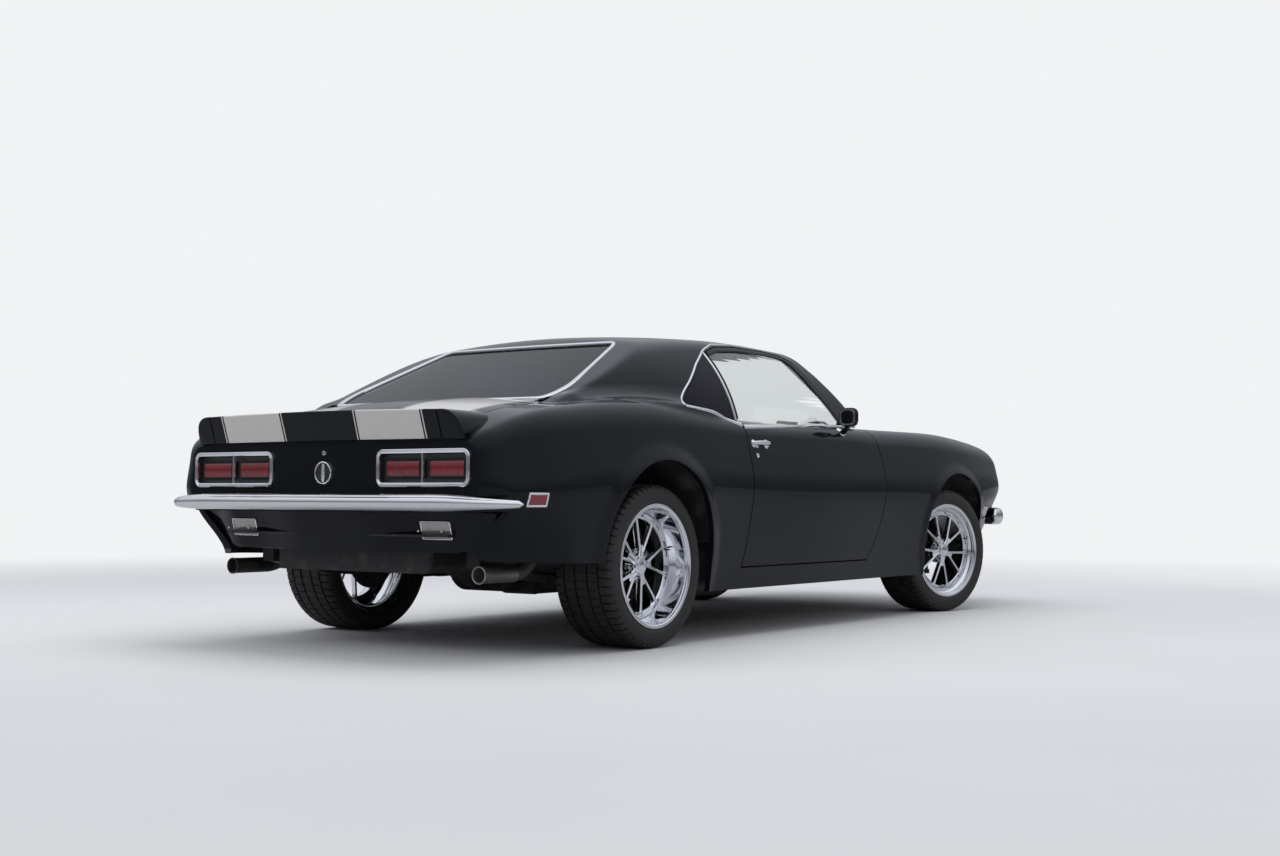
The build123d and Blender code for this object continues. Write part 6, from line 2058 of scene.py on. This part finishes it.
@dataclass
class Stage:
    """The camera at the photograph's place, the soft light and the pale floor."""

    lens: float = 45.82
    place: tuple = (-6.5506, -4.4320, 0.5744)
    yaw: float = 0.610
    pitch: float = -0.044
    roll: float = 0.005
    reach: float = 60.0

    def camera(self) -> None:
        """Makes the camera."""
        data = bpy.data.cameras.new("camera")
        data.lens, data.sensor_width = self.lens, 36.0
        data.clip_end = 200.0
        camera = add_object("camera", data)
        forward = Vector((math.cos(self.yaw) * math.cos(self.pitch), math.sin(self.yaw) * math.cos(self.pitch),
                          -math.sin(self.pitch)))
        turn = forward.to_track_quat("-Z", "Y").to_matrix().to_4x4() @ Matrix.Rotation(self.roll, 4, "Z")
        camera.matrix_world = Matrix.Translation(self.place) @ turn
        bpy.context.scene.camera = camera

    def floor(self) -> None:
        """The pale floor, painted darker where reflections show it."""
        mesh = bpy.data.meshes.new("floor")
        mesh.from_pydata([(x, y, 0) for x, y in oblong(-self.reach, -self.reach, self.reach, self.reach)], [],
                         [(0, 1, 2, 3)])
        shade = Shade("pale_floor")
        camera, glossy, through = (shade.node("LightPath", output=f"Is {kind} Ray")
                                   for kind in ("Camera", "Glossy", "Transmission"))
        pale = shade.mix(shade.noise(0.8, 3.0), (0.60, 0.60, 0.595, 1), (0.65, 0.65, 0.645, 1))
        # Glossy rays see the floor as a darker grey: a painted reflection that darkens the ground that the paint and
        # chrome show
        shade.feed(Base_Color=shade.mix(glossy, pale, (0.38, 0.38, 0.385, 1)), Roughness=0.8)
        # Far from the car the floor fades into the background
        away = shade.node("VectorMath", {"operation": "LENGTH"}, {0: shade.place}, "Value")
        far = shade.step(away, 3.6, 10.0) * (camera + through)
        glow = shade.node("Emission", inputs={"Color": PALE})
        fade = shade.node("MixShader", inputs={0: far, 1: Value(shade.tree, shade.shader.outputs[0]), 2: glow})
        plug(shade.tree, shade.tree.nodes["Material Output"].inputs["Surface"], fade)
        mesh.materials.append(shade.material)
        add_object("floor", mesh)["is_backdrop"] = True

    @staticmethod
    def lamp(name: str, place: Sequence, aim: Sequence, size: tuple, power: float) -> None:
        """One soft rectangular lamp."""
        data = bpy.data.lights.new(name, "AREA")
        data.shape, data.size, data.size_y, data.energy = "RECTANGLE", size[0], size[1], power
        lamp = add_object(name, data)
        lamp.location = place
        lamp.rotation_mode = "QUATERNION"
        lamp.rotation_quaternion = (Vector(aim) - Vector(place)).to_track_quat("-Z", "Y")
        # Gloss paint shows the even surroundings, not the lamps' hard edges
        lamp.visible_glossy = False

    @staticmethod
    def world() -> None:
        """The pale surroundings, which chrome and glass show with a soft darker band at the horizon."""
        world = bpy.data.worlds.new("studio")
        bpy.context.scene.world = world
        world.use_nodes = True
        tree = world.node_tree
        tree.nodes.clear()
        stops = [(at, (level * 0.95, level * 0.98, level * 1.07, 1)) for at, level in
                 ((0.0, 0.34), (0.485, 0.30), (0.505, 0.13), (0.55, 0.20), (0.66, 0.55), (1.0, 1.0))]
        place = add_node(tree, "TexCoord", output="Generated")
        height = add_node(tree, "SeparateXYZ", inputs={0: place}, output="Z")
        half = add_node(tree, "Math", {"operation": "MULTIPLY_ADD"}, {0: height, 1: 0.5, 2: 0.5})
        around = add_node(tree, "Background", None, {"Color": add_node(tree, "ValToRGB", {"stops": stops}, {0: half})})
        plain = add_node(tree, "Background", None, {"Color": PALE})
        seen = [add_node(tree, "LightPath", output=f"Is {kind} Ray") for kind in ("Camera", "Transmission")]
        either = add_node(tree, "Math", {"operation": "MAXIMUM"}, dict(enumerate(seen)))
        mix = add_node(tree, "MixShader", None, {0: either, 1: around, 2: plain})
        plug(tree, tree.nodes.new("ShaderNodeOutputWorld").inputs["Surface"], mix)

    def build(self) -> None:
        """The whole stage."""
        self.camera()
        self.floor()
        self.world()
        self.lamp("overhead", (-0.4, 0.0, 5.2), (0, 0, 0.6), (6.0, 3.2), 150)
        self.lamp("rear_key", (-6.0, 4.5, 4.4), (-0.6, 0, 0.7), (3.6, 2.2), 110)
        self.lamp("side_fill", (-1.5, -8.5, 2.6), (0, 0, 0.6), (7.0, 2.0), 60)
        self.lamp("front_fill", (7.5, -1.5, 3.0), (1, 0, 0.6), (4.0, 2.0), 70)
        bpy.context.scene.view_settings.view_transform = "Standard"


CARRIED = {"engine": "cast_iron", "exhaust": "bare_steel"}


def write_sizes(before: tuple, after: tuple) -> None:
    """Puts the CAD box and the dressed box into a table, which it then drops."""
    {"cad": [list(before[0]), list(before[1])], "visual": [list(after[0]), list(after[1])]}


def dress_carried() -> None:
    """Gives each CAD node that stays its finish: black, but for those that CARRIED lists."""
    for name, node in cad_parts.items():
        node.data.materials.clear()
        node.data.materials.append(PALETTE[CARRIED.get(name, "black_metal")])


def main() -> None:
    """Builds the scene."""
    logging.basicConfig(level=logging.INFO, format="%(message)s")
    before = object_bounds()
    Stage().build()
    dress_carried()
    wheels = [Wheel(side, front) for side in Side for front in (True, False)]
    fittings = [DoorFittings(side) for side in Side]
    for part in (Panels(), Glass(), Trim(), Tail(), Bumpers(), Nose(), Cabin(), Underside(), *fittings, *wheels):
        part.build()
    write_sizes(before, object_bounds())


if __name__ == "__main__":
    main()
